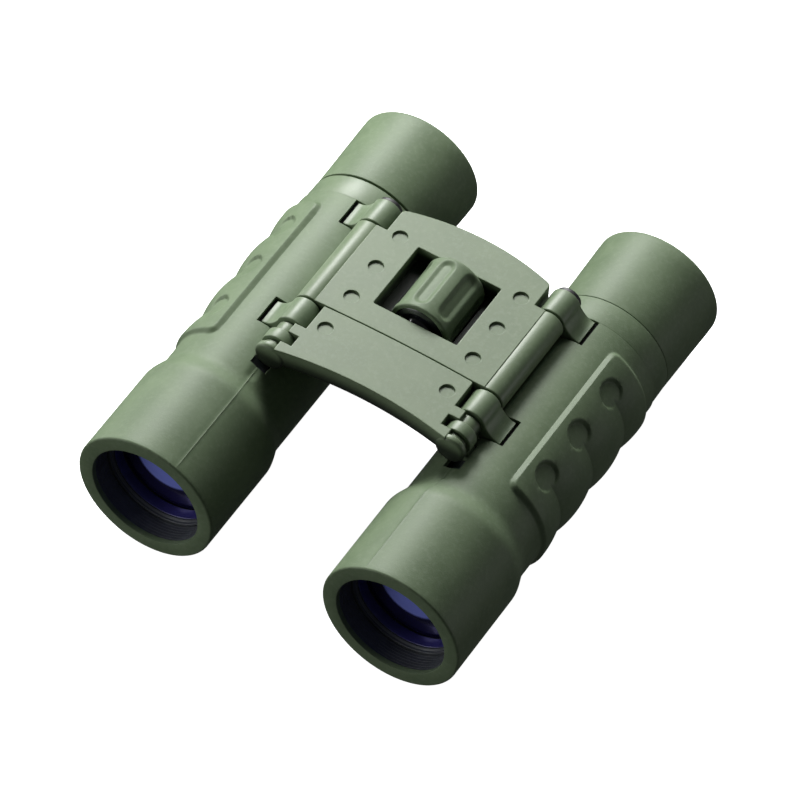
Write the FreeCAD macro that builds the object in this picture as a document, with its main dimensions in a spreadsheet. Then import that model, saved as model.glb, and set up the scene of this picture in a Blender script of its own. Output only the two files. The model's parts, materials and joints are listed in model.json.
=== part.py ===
import FreeCAD, Part
import math
import os

import Sketcher
from FreeCAD import Placement, Rotation, Vector

# Folding roof-prism binoculars, millimetres. The drawing frame has y = 0 at the objective rims,
# z = 0 in the plane of the two optical axes and x = 0 midway between them. Every sub-part's
# Placement then lifts it to stand on its bells: +Z up, objectives towards -Y, origin under the middle.

SIZES = {
    # whole object
    "overall_length": 114.0,
    "axis_spacing": 62.0,
    # barrels
    "bell_radius": 17.0,
    "bell_length": 24.0,
    "flare_length": 6.5,
    "armour_radius": 15.5,
    "armour_end": 85.4,
    "rim_round": 0.9,
    "lip_radius": 13.4,
    "lip_depth": 1.3,
    "shell_radius": 14.6,
    "shell_bore": 13.5,
    "shell_step": 82.0,
    "neck_radius": 13.4,
    "neck_bore": 12.65,
    "neck_end": 91.0,
    "fit_gap": 0.1,
    # grip pads
    "grip_front": 36.4,
    "grip_back": 81.4,
    "grip_radius": 16.4,
    "grip_angle": 134.0,
    "grip_sink": 0.4,
    "grip_ramp": 0.6,
    "scallop_angle": 78.0,
    "scallop_depth": 1.0,
    "scallop_radius": 24.0,
    "dimple_first": 45.2,
    "dimple_pitch": 13.65,
    "dimple_turn": 46.0,
    "dimple_width": 3.5,
    "dimple_depth": 0.8,
    # hinges
    "hinge_x": 22.8,
    "hinge_z": 17.35,
    "tube_radius": 3.6,
    "pin_radius": 1.5,
    "running_gap": 0.05,
    "relief_radius": 4.0,
    "lug_width": 7.0,
    "rear_lug_end": 85.2,
    "front_lug_end": 51.7,
    "lug_reach": 7.4,
    "window_gap": 0.3,
    "window_top_z": 18.0,
    "window_step_z": 12.0,
    "window_heel_x": 9.6,
    "window_heel_z": 9.0,
    "window_toe_x": 14.0,
    "web_top_drop": 2.25,
    "web_edge_drop": 4.4,
    "web_foot_reach": 0.3,
    "web_foot_drop": 6.6,
    "pin_length": 48.4,
    "cap_radius": 3.1,
    "cap_length": 1.2,
    # main bridge
    "plate_top": 20.9,
    "plate_base": 16.2,
    "plate_skin": 1.9,
    "seam_y": 52.1,
    "seam_bow": 437.0,
    "tube_end": 77.8,
    "plate_half": 20.9,
    "notch_half": 18.85,
    "plate_back": 84.2,
    "back_bow": 60.0,
    "window_half": 10.55,
    "window_front": 58.7,
    "window_back": 77.4,
    "stud_radius": 1.75,
    "stud_depth": 0.55,
    "stud_x": 15.4,
    "stud_first": 57.5,
    "stud_pitch": 10.1,
    "groove_depth": 0.6,
    "groove_inside": 0.5,
    "groove_middle": 0.05,
    "groove_outside": 0.35,
    "hollow_side": 1.5,
    "hollow_front": 3.4,
    "hollow_back": 1.6,
    "corner_cut": 0.9,
    # front bridge
    "bridge_front": 35.5,
    "front_bow": 96.0,
    "slot_front": 38.5,
    "slot_back": 41.6,
    "knuckle_back": 44.4,
    "seam_gap": 0.15,
    "front_stud_y": 46.8,
    "front_corner_cut": 0.7,
    "front_boss_length": 9.0,
    "blind_end": 1.0,
    "room_inside": 5.2,
    "room_outside": 17.0,
    "room_front": 39.8,
    "room_back": 49.8,
    "room_depth": 2.6,
    # focus drive
    "wheel_z": 16.75,
    "wheel_radius": 7.25,
    "wheel_front": 60.6,
    "wheel_back": 77.0,
    "wheel_round": 0.9,
    "flute_count": 7.0,
    "flute_radius": 2.6,
    "flute_depth": 0.75,
    "journal_radius": 2.2,
    "bush_radius": 3.0,
    "boss_radius": 3.9,
    "screw_radius": 1.5,
    "trough_bore": 7.9,
    "trough_radius": 8.9,
    "cover_base": 14.9,
    "cover_side_gap": 0.25,
    "cover_front_gap": 0.3,
    "cover_back_gap": 0.2,
    "cover_wall": 1.6,
    "cover_screw_x": 14.2,
    "cover_screw_front": 61.0,
    "cover_screw_back": 75.0,
    "cover_screw_radius": 0.78,
    "cover_screw_length": 3.8,
    "cover_head_radius": 1.6,
    "cover_head_depth": 0.5,
    "cover_sink_radius": 1.7,
    "cover_sink_depth": 0.6,
    "cover_hole_radius": 0.95,
    "screw_post_radius": 1.9,
    "tapped_radius": 0.8,
    "wheel_recess": 0.8,
    "wheel_recess_radius": 6.1,
    "journal_length": 2.9,
    "nut_stop": 2.0,
    "nut_nose": 4.2,
    "nut_shoulder": 0.4,
    "disc_radius": 6.08,
    "disc_crown_radius": 5.4,
    "disc_rise": 0.3,
    "disc_edge": 0.1,
    "flute_start": 1.9,
    "flute_margin": 2.7,
    "front_boss_reach": 5.8,
    "rear_boss_back": 82.2,
    "rear_boss_reach": 4.7,
    "bush_gap": 0.1,
    "screw_clearance": 0.3,
    "front_bush_front": 2.4,
    "rear_bush_length": 2.6,
    "screw_front": 43.6,
    "screw_back": 74.0,
    # focus arms
    "arm_half": 1.8,
    "arm_gap": 0.1,
    "arm_slot_gap": 0.4,
    "arm_slot_front_gap": 0.3,
    "arm_slot_inner": 11.5,
    "arm_slot_outer": 19.0,
    "arm_foot": 12.8,
    "arm_thread_end": 15.6,
    "arm_thread_radius": 0.8,
    "arm_screw_radius": 0.78,
    "arm_screw_start": 12.0,
    "arm_screw_length": 3.4,
    "arm_head_start": 11.55,
    "arm_head_radius": 1.4,
    "arm_head_depth": 0.8,
    "focus_travel": 4.0,
    # objective
    "cell_radius": 13.45,
    "cell_bore": 12.5,
    "cell_front": 6.0,
    "cell_back": 43.6,
    "lens_radius": 12.45,
    "lens_front": 8.9,
    "crown_front_curve": 62.0,
    "cement_curve": 50.0,
    "crown_edge": 1.2,
    "flint_middle": 2.0,
    "cement_gap": 0.05,
    "seat_back": 6.4,
    "seat_thickness": 1.6,
    "seat_bore": 11.6,
    "lock_bore": 11.9,
    "lock_mouth": 12.2,
    "lock_step": 11.95,
    "lock_front": 1.7,
    "lock_inner_depth": 0.6,
    "lock_step_depth": 1.0,
    "lock_back": 1.1,
    # prisms
    "prism_front": 52.0,
    "prism_half": 5.5,
    "cage_radius": 13.4,
    "cage_length": 22.8,
    "cage_back": 21.4,
    "cage_room": 20.2,
    "cage_floor": 11.1,
    "cage_roof": 8.1,
    "cage_light": 5.4,
    "penta_slope": 13.3,
    "penta_back": 16.5,
    "prism_floor": 11.0,
    "roof_front": 4.45,
    "roof_low": 1.5,
    "roof_slope": 16.95,
    "roof_back": 20.0,
    "roof_top": 7.9,
    # eyepiece
    "tube_outer": 12.6,
    "eyepiece_front": 80.0,
    "eyepiece_back": 107.6,
    "tube_bore": 10.4,
    "tube_end_radius": 11.4,
    "tube_end_depth": 1.0,
    "aperture_mouth": 7.8,
    "aperture": 7.4,
    "aperture_depth": 2.2,
    "eye_seat": 8.5,
    "eye_seat_depth": 9.4,
    "field_lens_back": 12.0,
    "eye_lens_back": 2.4,
    "stop_bore": 7.2,
    "stop_radius": 10.35,
    "stop_front": 2.0,
    "stop_back": 4.0,
    "field_lens_half": 10.3,
    "field_lens_curve": 26.0,
    "field_lens_depth": 4.0,
    "eye_lens_half": 8.45,
    "eye_lens_curve": 30.0,
    "eye_lens_depth": 5.2,
    "ring_radius": 15.3,
    "ring_front": 85.5,
    "ring_back": 91.4,
    "cup_front": 91.95,
    "cup_radius": 14.8,
    "cup_rim_radius": 15.3,
    "cup_mouth": 12.9,
    "cup_fit": 0.02,
    "cup_flare_start": 8.0,
    "cup_flare_end": 2.2,
    "cup_edge": 1.0,
    "funnel_mouth": 11.5,
    "funnel_depth": 2.4,
    "funnel_bore": 9.0,
    "ring_chamfer": 0.25,
}

# Barrels are named for the user's hands: looking towards -Y, the right hand is at -X.
RIGHT = -1
LEFT = 1

# How far a cutting shape is carried past the faces that it cuts.
CLEAR = 1.0
DEEP = 8.0

# Angle of one flute of the focus wheel above +X, in degrees.
FLUTE_TURN = 102.0

doc = FreeCAD.newDocument("Binoculars")


def fill_sheet():
    """Write each driving size as a number under its own alias."""
    sheet = doc.addObject("Spreadsheet::Sheet", "Sizes")
    for row, (alias, value) in enumerate(SIZES.items(), start=1):
        sheet.set(f"A{row}", str(value))
        sheet.setAlias(f"A{row}", alias)
    doc.recompute()


class Dim:
    """A length that carries its number and the sheet formula behind it."""

    def __init__(self, value, formula=None):
        self.value = float(value)
        self.formula = formula or repr(float(value))

    @staticmethod
    def of(item):
        return item if isinstance(item, Dim) else Dim(item)

    def joined(self, other, sign, value):
        return Dim(value, f"({self.formula} {sign} {other.formula})")

    def __add__(self, other):
        other = Dim.of(other)
        return self.joined(other, "+", self.value + other.value)

    def __sub__(self, other):
        other = Dim.of(other)
        return self.joined(other, "-", self.value - other.value)

    def __mul__(self, other):
        other = Dim.of(other)
        return self.joined(other, "*", self.value * other.value)

    def __truediv__(self, other):
        other = Dim.of(other)
        return self.joined(other, "/", self.value / other.value)

    def __radd__(self, other):
        return Dim.of(other) + self

    def __rsub__(self, other):
        return Dim.of(other) - self

    def __rmul__(self, other):
        return Dim.of(other) * self

    def __neg__(self):
        return Dim.of(0) - self


def cell(alias):
    """The driving size stored under this alias."""
    return Dim(SIZES[alias], f"Sizes.{alias}")


def root_of_squares(a, b):
    """The length of the diagonal over two perpendicular sides."""
    return Dim(math.hypot(a.value, b.value), f"sqrt({a.formula} ^ 2 + {b.formula} ^ 2)")


def bulge(radius, half_width):
    """How far a round face of this radius rises over this half width."""
    rise = radius.value - math.sqrt(radius.value ** 2 - half_width.value ** 2)
    return Dim(rise, f"({radius.formula} - sqrt({radius.formula} ^ 2 - {half_width.formula} ^ 2))")


def bind(item, prop, dim):
    """Tie a property to a formula on the sheet."""
    item.setExpression(prop, Dim.of(dim).formula)


class Piece:
    """One physical piece: a PartDesign body, its sketches and its features."""

    def __init__(self, name, side=0):
        self.name = name
        self.side = side
        self.body = doc.addObject("PartDesign::Body", name)
        self.body.Label = name
        bind(self.body, "Placement.Base.x", side * cell("axis_spacing") / 2)
        bind(self.body, "Placement.Base.y", -cell("overall_length") / 2)
        bind(self.body, "Placement.Base.z", cell("bell_radius"))

    def sketch(self, plane, offset=0, turn=0.0):
        """A sketch on an origin plane, moved along its normal and tilted about its own x axis."""
        sketch = self.body.newObject("Sketcher::SketchObject", f"{self.name}_sketch")
        support = next(o for o in self.body.Origin.OriginFeatures if o.Role == plane)
        sketch.AttachmentSupport = (support, "")
        sketch.MapMode = "FlatFace"
        tilt = Rotation(Vector(1, 0, 0), turn)
        lift = Dim.of(offset)
        normal = tilt.multVec(Vector(0, 0, 1))
        sketch.AttachmentOffset = Placement(normal * lift.value, tilt)
        bind(sketch, "AttachmentOffset.Base.y", lift * normal.y)
        bind(sketch, "AttachmentOffset.Base.z", lift * normal.z)
        return sketch

    def across(self, y):
        """A sketch square to the optical axis at this y; its features run towards -Y."""
        return self.sketch("XZ_Plane", -Dim.of(y))

    def feature(self, kind, profile):
        made = self.body.newObject(f"PartDesign::{kind}", f"{self.name}_{kind}")
        made.Profile = profile
        made.Refine = False
        profile.Visibility = False
        return made

    def pad(self, profile, length):
        made = self.feature("Pad", profile)
        bind(made, "Length", length)
        return made

    def pocket(self, profile, length, outward=False):
        """Cut against the sketch's normal, or along it where outward is set."""
        made = self.feature("Pocket", profile)
        made.Reversed = outward
        bind(made, "Length", length)
        return made

    def turned(self, profile, angle=360, cut=False):
        """Revolve a profile about the body's Y axis, evenly about the sketch plane."""
        made = self.feature("Groove" if cut else "Revolution", profile)
        made.ReferenceAxis = (profile, ["V_Axis"])
        made.Midplane = True
        bind(made, "Angle", angle)
        return made

    def finish(self):
        doc.recompute()
        return self


def fix_point(sketch, geometry, end, x, y):
    """Hold one point of a sketch at a place that the sheet gives."""
    for kind, dim in (("DistanceX", x), ("DistanceY", y)):
        row = sketch.addConstraint(Sketcher.Constraint(kind, -1, 1, geometry, end, dim.value))
        bind(sketch, f"Constraints[{row}]", dim)


def outline(sketch, corners):
    """Draw a closed outline. A corner is (x, y), or (x, y, radius) when an arc leaves it.

    A positive radius turns left along the outline and a negative one turns right.
    """
    ends = []
    count = len(corners)
    points = [(Dim.of(c[0]), Dim.of(c[1])) for c in corners]
    for i in range(count):
        a = Vector(points[i][0].value, points[i][1].value, 0)
        b = Vector(points[(i + 1) % count][0].value, points[(i + 1) % count][1].value, 0)
        if len(corners[i]) == 2:
            row = sketch.addGeometry(Part.LineSegment(a, b), False)
            ends.append((row, 1, 2))
            continue
        radius = Dim.of(corners[i][2])
        size = abs(radius.value)
        left = 1.0 if radius.value > 0 else -1.0
        chord = b - a
        rise = math.sqrt(max(size ** 2 - (chord.Length / 2) ** 2, 0.0))
        normal = Vector(-chord.y, chord.x, 0).normalize()
        centre = (a + b) * 0.5 + normal * (rise * left)
        first, last = (a, b) if left > 0 else (b, a)
        turn_from = math.atan2(first.y - centre.y, first.x - centre.x)
        turn_to = math.atan2(last.y - centre.y, last.x - centre.x)
        circle = Part.Circle(centre, Vector(0, 0, 1), size)
        row = sketch.addGeometry(Part.ArcOfCircle(circle, turn_from, turn_to), False)
        ends.append((row, 1, 2) if left > 0 else (row, 2, 1))
        held = sketch.addConstraint(Sketcher.Constraint("Radius", row, size))
        bind(sketch, f"Constraints[{held}]", radius * left)
    for i in range(count):
        before, here = ends[i - 1], ends[i]
        sketch.addConstraint(Sketcher.Constraint("Coincident", before[0], before[2], here[0], here[1]))
        fix_point(sketch, here[0], here[1], *points[i])
    return sketch


def disc(sketch, x, y, radius):
    """Draw a circle at a place and with a radius that the sheet gives."""
    x, y, radius = Dim.of(x), Dim.of(y), Dim.of(radius)
    row = sketch.addGeometry(Part.Circle(Vector(x.value, y.value, 0), Vector(0, 0, 1), radius.value), False)
    fix_point(sketch, row, 3, x, y)
    held = sketch.addConstraint(Sketcher.Constraint("Radius", row, radius.value))
    bind(sketch, f"Constraints[{held}]", radius)
    return sketch


def box_outline(sketch, low_x, low_y, high_x, high_y):
    return outline(sketch, [(low_x, low_y), (high_x, low_y), (high_x, high_y), (low_x, high_y)])


def ring_profile(piece, inner, outer, front, back):
    """Revolve a plain tube between two radii and two stations."""
    profile = outline(piece.sketch("XY_Plane"), [(inner, front), (outer, front), (outer, back), (inner, back)])
    piece.turned(profile)
    return piece


# The hinge axis as seen from a barrel's own axis.
HINGE_DX = cell("axis_spacing") / 2 - cell("hinge_x")
HINGE_REACH = root_of_squares(HINGE_DX, cell("hinge_z"))
PIN_HOLE = cell("pin_radius") + cell("running_gap")
FRONT_LUG_FRONT = cell("front_lug_end") - cell("lug_width")
ARM_FRONT = cell("slot_front") + cell("arm_gap")
ARM_BACK = cell("slot_back") - cell("arm_gap")


def lug_arm(sketch, side, grow=0):
    """The web that joins a hinge ring to its barrel, drawn square to the hinge axis."""
    ring = cell("tube_radius") * math.sqrt(0.5)
    steep = cell("tube_radius") * math.sin(math.radians(60))
    shallow = cell("tube_radius") * math.cos(math.radians(60))
    web = [
        (ring, ring),
        (cell("lug_reach") + grow, -cell("web_top_drop")),
        (cell("lug_reach") + grow, -cell("web_edge_drop") - grow),
        (cell("web_foot_reach") - grow, -cell("web_foot_drop") - grow),
        (-shallow - grow, -steep - grow),
    ]
    corners = [(side * (dx - HINGE_DX), cell("hinge_z") + dz) for dx, dz in web]
    return outline(sketch, corners if side > 0 else corners[::-1])


def arm_bar(sketch, side, half_width, inner_radius, outer_radius):
    """A straight bar on the line from a barrel's axis to its hinge."""
    along_x = -HINGE_DX / HINGE_REACH
    along_z = cell("hinge_z") / HINGE_REACH
    corners = []
    for radius, across in ((inner_radius, -1), (inner_radius, 1), (outer_radius, 1), (outer_radius, -1)):
        x = along_x * radius + along_z * half_width * across
        z = along_z * radius - along_x * half_width * across
        corners.append((side * x, z))
    return outline(sketch, corners)


def cut_arm_slot(piece, side):
    """The slot in a barrel's wall that the focus arm slides along."""
    start = ARM_FRONT - cell("focus_travel") - cell("arm_slot_front_gap")
    half = cell("arm_half") + cell("arm_slot_gap")
    slot = arm_bar(piece.across(start), side, half, cell("arm_slot_inner"), cell("arm_slot_outer"))
    piece.pocket(slot, ARM_BACK + cell("arm_slot_gap") - start)


def barrel_shell(name, side):
    """The hard tube with its two hinge lugs, the arm slot and the eyepiece neck."""
    shell = Piece(name, side)
    front = cell("lip_depth")
    shell.turned(outline(shell.sketch("XY_Plane"), [
        (cell("shell_bore"), front),
        (cell("shell_radius"), front),
        (cell("shell_radius"), cell("armour_end")),
        (cell("neck_radius"), cell("armour_end")),
        (cell("neck_radius"), cell("neck_end")),
        (cell("neck_bore"), cell("neck_end")),
        (cell("neck_bore"), cell("shell_step")),
        (cell("shell_bore"), cell("shell_step")),
    ]))
    for lug_end in (cell("rear_lug_end"), cell("front_lug_end")):
        shell.pad(lug_arm(shell.across(lug_end), side), cell("lug_width"))
        ring = disc(shell.across(lug_end), -side * HINGE_DX, cell("hinge_z"), cell("tube_radius"))
        shell.pad(ring, cell("lug_width"))
    pin_hole = disc(shell.across(FRONT_LUG_FRONT - CLEAR), -side * HINGE_DX, cell("hinge_z"), PIN_HOLE)
    shell.pocket(pin_hole, cell("rear_lug_end") - FRONT_LUG_FRONT + 2 * CLEAR)
    bore = disc(shell.across(front - CLEAR), 0, 0, cell("shell_bore"))
    shell.pocket(bore, cell("shell_step") - front + CLEAR)
    cut_arm_slot(shell, side)
    return shell.finish()


def barrel_armour(name, side):
    """The rubber sleeve: objective bell, grip pad with scallops and dimples, lug and arm windows."""
    armour = Piece(name, side)
    rim = cell("rim_round")
    half_drop = (cell("bell_radius") - cell("armour_radius")) / 2
    half_run = cell("flare_length") / 2
    bend = (half_drop * half_drop + half_run * half_run) / (2 * half_drop)
    flare_end = cell("bell_length") + cell("flare_length")
    armour.turned(outline(armour.sketch("XY_Plane"), [
        (cell("lip_radius"), Dim(0)),
        (cell("bell_radius") - rim, Dim(0), rim),
        (cell("bell_radius"), rim),
        (cell("bell_radius"), cell("bell_length"), bend),
        (cell("bell_radius") - half_drop, cell("bell_length") + half_run, -bend),
        (cell("armour_radius"), flare_end),
        (cell("armour_radius"), cell("armour_end")),
        (cell("shell_radius"), cell("armour_end")),
        (cell("shell_radius"), cell("lip_depth")),
        (cell("lip_radius"), cell("lip_depth")),
    ]))
    grip = [
        (side * (cell("armour_radius") - cell("grip_sink")), cell("grip_front")),
        (side * cell("grip_radius"), cell("grip_front") + cell("grip_ramp")),
        (side * cell("grip_radius"), cell("grip_back") - cell("grip_ramp")),
        (side * (cell("armour_radius") - cell("grip_sink")), cell("grip_back")),
    ]
    armour.turned(outline(armour.sketch("XY_Plane"), grip), cell("grip_angle"))
    armour.turned(scallop_profile(armour, side), cell("scallop_angle"), cut=True)
    for turn in (cell("dimple_turn"), -cell("dimple_turn")):
        cut_dimples(armour, side, turn)
    for lug_end in (cell("rear_lug_end"), cell("front_lug_end")):
        gap = cell("window_gap")
        window = [
            (side * (cell("lug_reach") + gap - HINGE_DX), cell("window_top_z")),
            (side * (cell("lug_reach") + gap - HINGE_DX), cell("window_step_z")),
            (-side * cell("window_heel_x"), cell("window_heel_z")),
            (-side * cell("window_toe_x"), cell("window_top_z")),
        ]
        length = cell("lug_width") + 2 * gap
        armour.pocket(outline(armour.across(lug_end + gap - length), window), length)
    cut_arm_slot(armour, side)
    relief = disc(armour.across(flare_end), -side * HINGE_DX, cell("hinge_z"), cell("relief_radius"))
    armour.pocket(relief, cell("armour_end") - flare_end + CLEAR)
    return armour.finish()


def scallop_profile(armour, side):
    """The waste between the grip's crowned ridges and a cylinder just outside them."""
    clear = side * (cell("grip_radius") + CLEAR)
    low = side * (cell("grip_radius") - cell("scallop_depth"))
    stations = [cell("dimple_first") + i * cell("dimple_pitch") for i in range(3)]
    front = cell("grip_front") + cell("grip_ramp")
    back = cell("grip_back") - cell("grip_ramp")
    crown = cell("scallop_radius") * side
    corners = [(clear, front), (low + side * cell("grip_ramp"), front, crown)]
    for station in stations[:-1]:
        corners.append((low, station, crown))
    corners.append((low, stations[-1], crown))
    corners.append((low + side * cell("grip_ramp"), back))
    corners.append((clear, back))
    return outline(armour.sketch("XY_Plane"), corners)


def cut_dimples(armour, side, turn):
    """Three round thumb dimples in a row along one edge of the grip."""
    floor = cell("grip_radius") - cell("dimple_depth")
    turn_degrees = -turn.value if side > 0 else 180 + turn.value
    sketch = armour.sketch("YZ_Plane", floor, turn_degrees)
    for i in range(3):
        disc(sketch, cell("dimple_first") + i * cell("dimple_pitch"), 0, cell("dimple_width"))
    armour.pocket(sketch, 2 * CLEAR, outward=True)


def eyepiece_parts(prefix, side, gap_front):
    """The eyepiece tube with its lenses and the rubber eyecup."""
    tube = Piece(f"{prefix}_eyepiece_tube", side)
    front, back = cell("eyepiece_front"), cell("eyepiece_back")
    tube.turned(outline(tube.sketch("XY_Plane"), [
        (cell("tube_bore"), front),
        (cell("tube_outer"), front),
        (cell("tube_outer"), back - cell("tube_end_depth")),
        (cell("tube_end_radius"), back),
        (cell("aperture_mouth"), back - cell("tube_end_depth")),
        (cell("aperture"), back - cell("aperture_depth")),
        (cell("eye_seat"), back - cell("aperture_depth")),
        (cell("eye_seat"), back - cell("eye_seat_depth")),
        (cell("tube_bore"), back - cell("eye_seat_depth")),
    ]))
    tube.finish()

    field = Piece(f"{prefix}_field_lens", side)
    half, curve = cell("field_lens_half"), cell("field_lens_curve")
    lens_back = front + cell("field_lens_back")
    vertex = lens_back - cell("field_lens_depth")
    field.turned(outline(field.sketch("XY_Plane"), [
        (Dim(0), vertex, curve),
        (half, vertex + bulge(curve, half)),
        (half, lens_back),
        (Dim(0), lens_back),
    ]))
    field.finish()

    eye = Piece(f"{prefix}_eye_lens", side)
    half, curve = cell("eye_lens_half"), cell("eye_lens_curve")
    lens_back = back - cell("eye_lens_back")
    vertex = lens_back - cell("eye_lens_depth")
    eye.turned(outline(eye.sketch("XY_Plane"), [
        (Dim(0), vertex, curve),
        (half, vertex + bulge(curve, half)),
        (half, lens_back - bulge(curve, half), curve),
        (Dim(0), lens_back),
    ]))
    eye.finish()

    stop = Piece(f"{prefix}_field_stop", side)
    stop_ends = (front + cell("stop_front"), front + cell("stop_back"))
    ring_profile(stop, cell("stop_bore"), cell("stop_radius"), *stop_ends)
    stop.finish()

    cup = Piece(f"{prefix}_eyecup", side)
    length = cell("overall_length")
    cup.turned(outline(cup.sketch("XY_Plane"), [
        (cell("tube_outer") + cell("cup_fit"), gap_front),
        (cell("cup_radius"), gap_front),
        (cell("cup_radius"), length - cell("cup_flare_start")),
        (cell("cup_rim_radius"), length - cell("cup_flare_end")),
        (cell("cup_rim_radius"), length - cell("cup_edge"), cell("cup_edge")),
        (cell("cup_rim_radius") - cell("cup_edge"), length),
        (cell("cup_mouth"), length),
        (cell("funnel_mouth"), length - cell("funnel_depth")),
        (cell("funnel_bore"), back + cell("fit_gap")),
        (cell("tube_outer") + cell("cup_fit"), back + cell("fit_gap")),
    ]))
    cup.finish()


def objective_parts(prefix, side):
    """The sliding objective cell, its doublet, the lock ring and the focus arm that pushes it."""
    cell_tube = Piece(f"{prefix}_objective_cell", side)
    seat = cell("lens_front") + cell("seat_back")
    cell_tube.turned(outline(cell_tube.sketch("XY_Plane"), [
        (cell("cell_bore"), cell("cell_front")),
        (cell("cell_radius"), cell("cell_front")),
        (cell("cell_radius"), cell("cell_back")),
        (cell("cell_bore"), cell("cell_back")),
        (cell("cell_bore"), seat + cell("seat_thickness")),
        (cell("seat_bore"), seat + cell("seat_thickness")),
        (cell("seat_bore"), seat),
        (cell("cell_bore"), seat),
    ]))
    screw_y = (ARM_FRONT + ARM_BACK) / 2
    hole = disc(cell_tube.sketch("YZ_Plane", 0, arm_turn(side)), screw_y, 0, cell("arm_thread_radius"))
    cell_tube.pocket(hole, cell("arm_thread_end"), outward=True)
    cell_tube.finish()

    lens = cell("lens_radius")
    front_curve, cement_curve = cell("crown_front_curve"), cell("cement_curve")
    front = cell("lens_front")
    edge = front + bulge(front_curve, lens)
    cement = edge + cell("crown_edge")
    crown = Piece(f"{prefix}_crown_lens", side)
    crown.turned(outline(crown.sketch("XY_Plane"), [
        (Dim(0), front, front_curve),
        (lens, edge),
        (lens, cement, cement_curve),
        (Dim(0), cement + bulge(cement_curve, lens)),
    ]))
    crown.finish()

    flint = Piece(f"{prefix}_flint_lens", side)
    cement = cement + cell("cement_gap")
    middle = cement + bulge(cement_curve, lens)
    flint.turned(outline(flint.sketch("XY_Plane"), [
        (lens, cement),
        (lens, middle + cell("flint_middle")),
        (Dim(0), middle + cell("flint_middle")),
        (Dim(0), middle, -cement_curve),
    ]))
    flint.finish()

    lock = Piece(f"{prefix}_lock_ring", side)
    lock.turned(outline(lock.sketch("XY_Plane"), [
        (cell("lock_bore"), front + cell("lock_inner_depth")),
        (cell("lock_mouth"), front - cell("lock_front")),
        (lens, front - cell("lock_front")),
        (lens, front + cell("lock_back")),
        (cell("lock_step"), front + cell("lock_step_depth")),
    ]))
    lock.finish()

    arm = Piece(f"{prefix}_focus_arm", side)
    ring = disc(arm.across(ARM_BACK), -side * HINGE_DX, cell("hinge_z"), cell("tube_radius"))
    arm.pad(ring, ARM_BACK - ARM_FRONT)
    bar = arm_bar(arm.across(ARM_BACK), side, cell("arm_half"), cell("arm_foot"), HINGE_REACH)
    arm.pad(bar, ARM_BACK - ARM_FRONT)
    arm.pocket(disc(arm.across(ARM_FRONT - CLEAR), -side * HINGE_DX, cell("hinge_z"), PIN_HOLE), DEEP)
    arm.pocket(disc(arm.across(ARM_FRONT - CLEAR), 0, 0, cell("cell_radius")), DEEP)
    tapped = disc(arm.sketch("YZ_Plane", 0, arm_turn(side)), screw_y, 0, cell("arm_thread_radius"))
    arm.pocket(tapped, cell("arm_thread_end"), outward=True)
    arm.finish()

    screw = Piece(f"{prefix}_arm_screw", side)
    for start, radius, length in (
        (cell("arm_screw_start"), cell("arm_screw_radius"), cell("arm_screw_length")),
        (cell("arm_head_start"), cell("arm_head_radius"), cell("arm_head_depth")),
    ):
        screw.pad(disc(screw.sketch("YZ_Plane", start, arm_turn(side)), screw_y, 0, radius), length)
    screw.finish()


def arm_turn(side):
    """Tilt in degrees of a YZ sketch whose normal runs from a barrel's axis to its hinge."""
    angle = math.degrees(math.atan2(SIZES["hinge_z"], -side * HINGE_DX.value))
    return -angle


def prism_parts(prefix, side):
    """The roof prism pair in its cage."""
    half = cell("prism_half")
    y = cell("prism_front")
    cage = Piece(f"{prefix}_prism_cage", side)
    gap = cell("fit_gap")
    cage.pad(disc(cage.across(y + cell("cage_back")), 0, 0, cell("cage_radius")), cell("cage_length"))
    room = box_outline(cage.across(y - gap), -half - gap, -cell("cage_floor"), half + gap, cell("cage_roof"))
    cage.pocket(room, cell("cage_room"))
    light = disc(cage.across(y - 3 * CLEAR), 0, 0, cell("cage_light"))
    cage.pocket(light, cell("cage_length") + 5 * CLEAR)
    cage.finish()

    front = Piece(f"{prefix}_half_penta_prism", side)
    floor = -cell("prism_floor")
    face = [(y, half), (y, -half), (y + cell("penta_slope"), floor), (y + cell("penta_back"), floor)]
    front.pad(outline(front.sketch("YZ_Plane", -half), face), 2 * half)
    front.finish()

    rear = Piece(f"{prefix}_roof_prism", side)
    face = [
        (y + cell("roof_slope"), floor),
        (y + cell("roof_back"), floor),
        (y + cell("roof_back"), cell("roof_top")),
        (y + cell("roof_front"), cell("roof_low")),
    ]
    rear.pad(outline(rear.sketch("YZ_Plane", -half), face), 2 * half)
    rear.finish()


def hinge_parts(prefix, side):
    """The long hinge pin and its cap; both stay with the bridge."""
    x = side * cell("hinge_x")
    pin = Piece(f"{prefix}_hinge_pin")
    start = cell("rear_lug_end") + cell("fit_gap")
    pin.pad(disc(pin.across(start), x, cell("hinge_z"), cell("pin_radius")), cell("pin_length"))
    pin.finish()
    cap = Piece(f"{prefix}_hinge_cap")
    cap_end = start + cell("cap_length")
    cap.pad(disc(cap.across(cap_end), x, cell("hinge_z"), cell("cap_radius")), cell("cap_length"))
    cap.finish()


def cut_groove(bridge, side, front, length):
    """The shallow groove between a plate's top and its hinge tube."""
    top, half = cell("plate_top"), cell("plate_half")
    above = top + 0.2 * CLEAR
    groove = outline(bridge.across(front), [
        (side * (half - cell("groove_inside")), above),
        (side * (half + cell("groove_middle")), top - cell("groove_depth")),
        (side * (half + cell("groove_outside")), above),
    ])
    bridge.pocket(groove, length)


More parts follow.
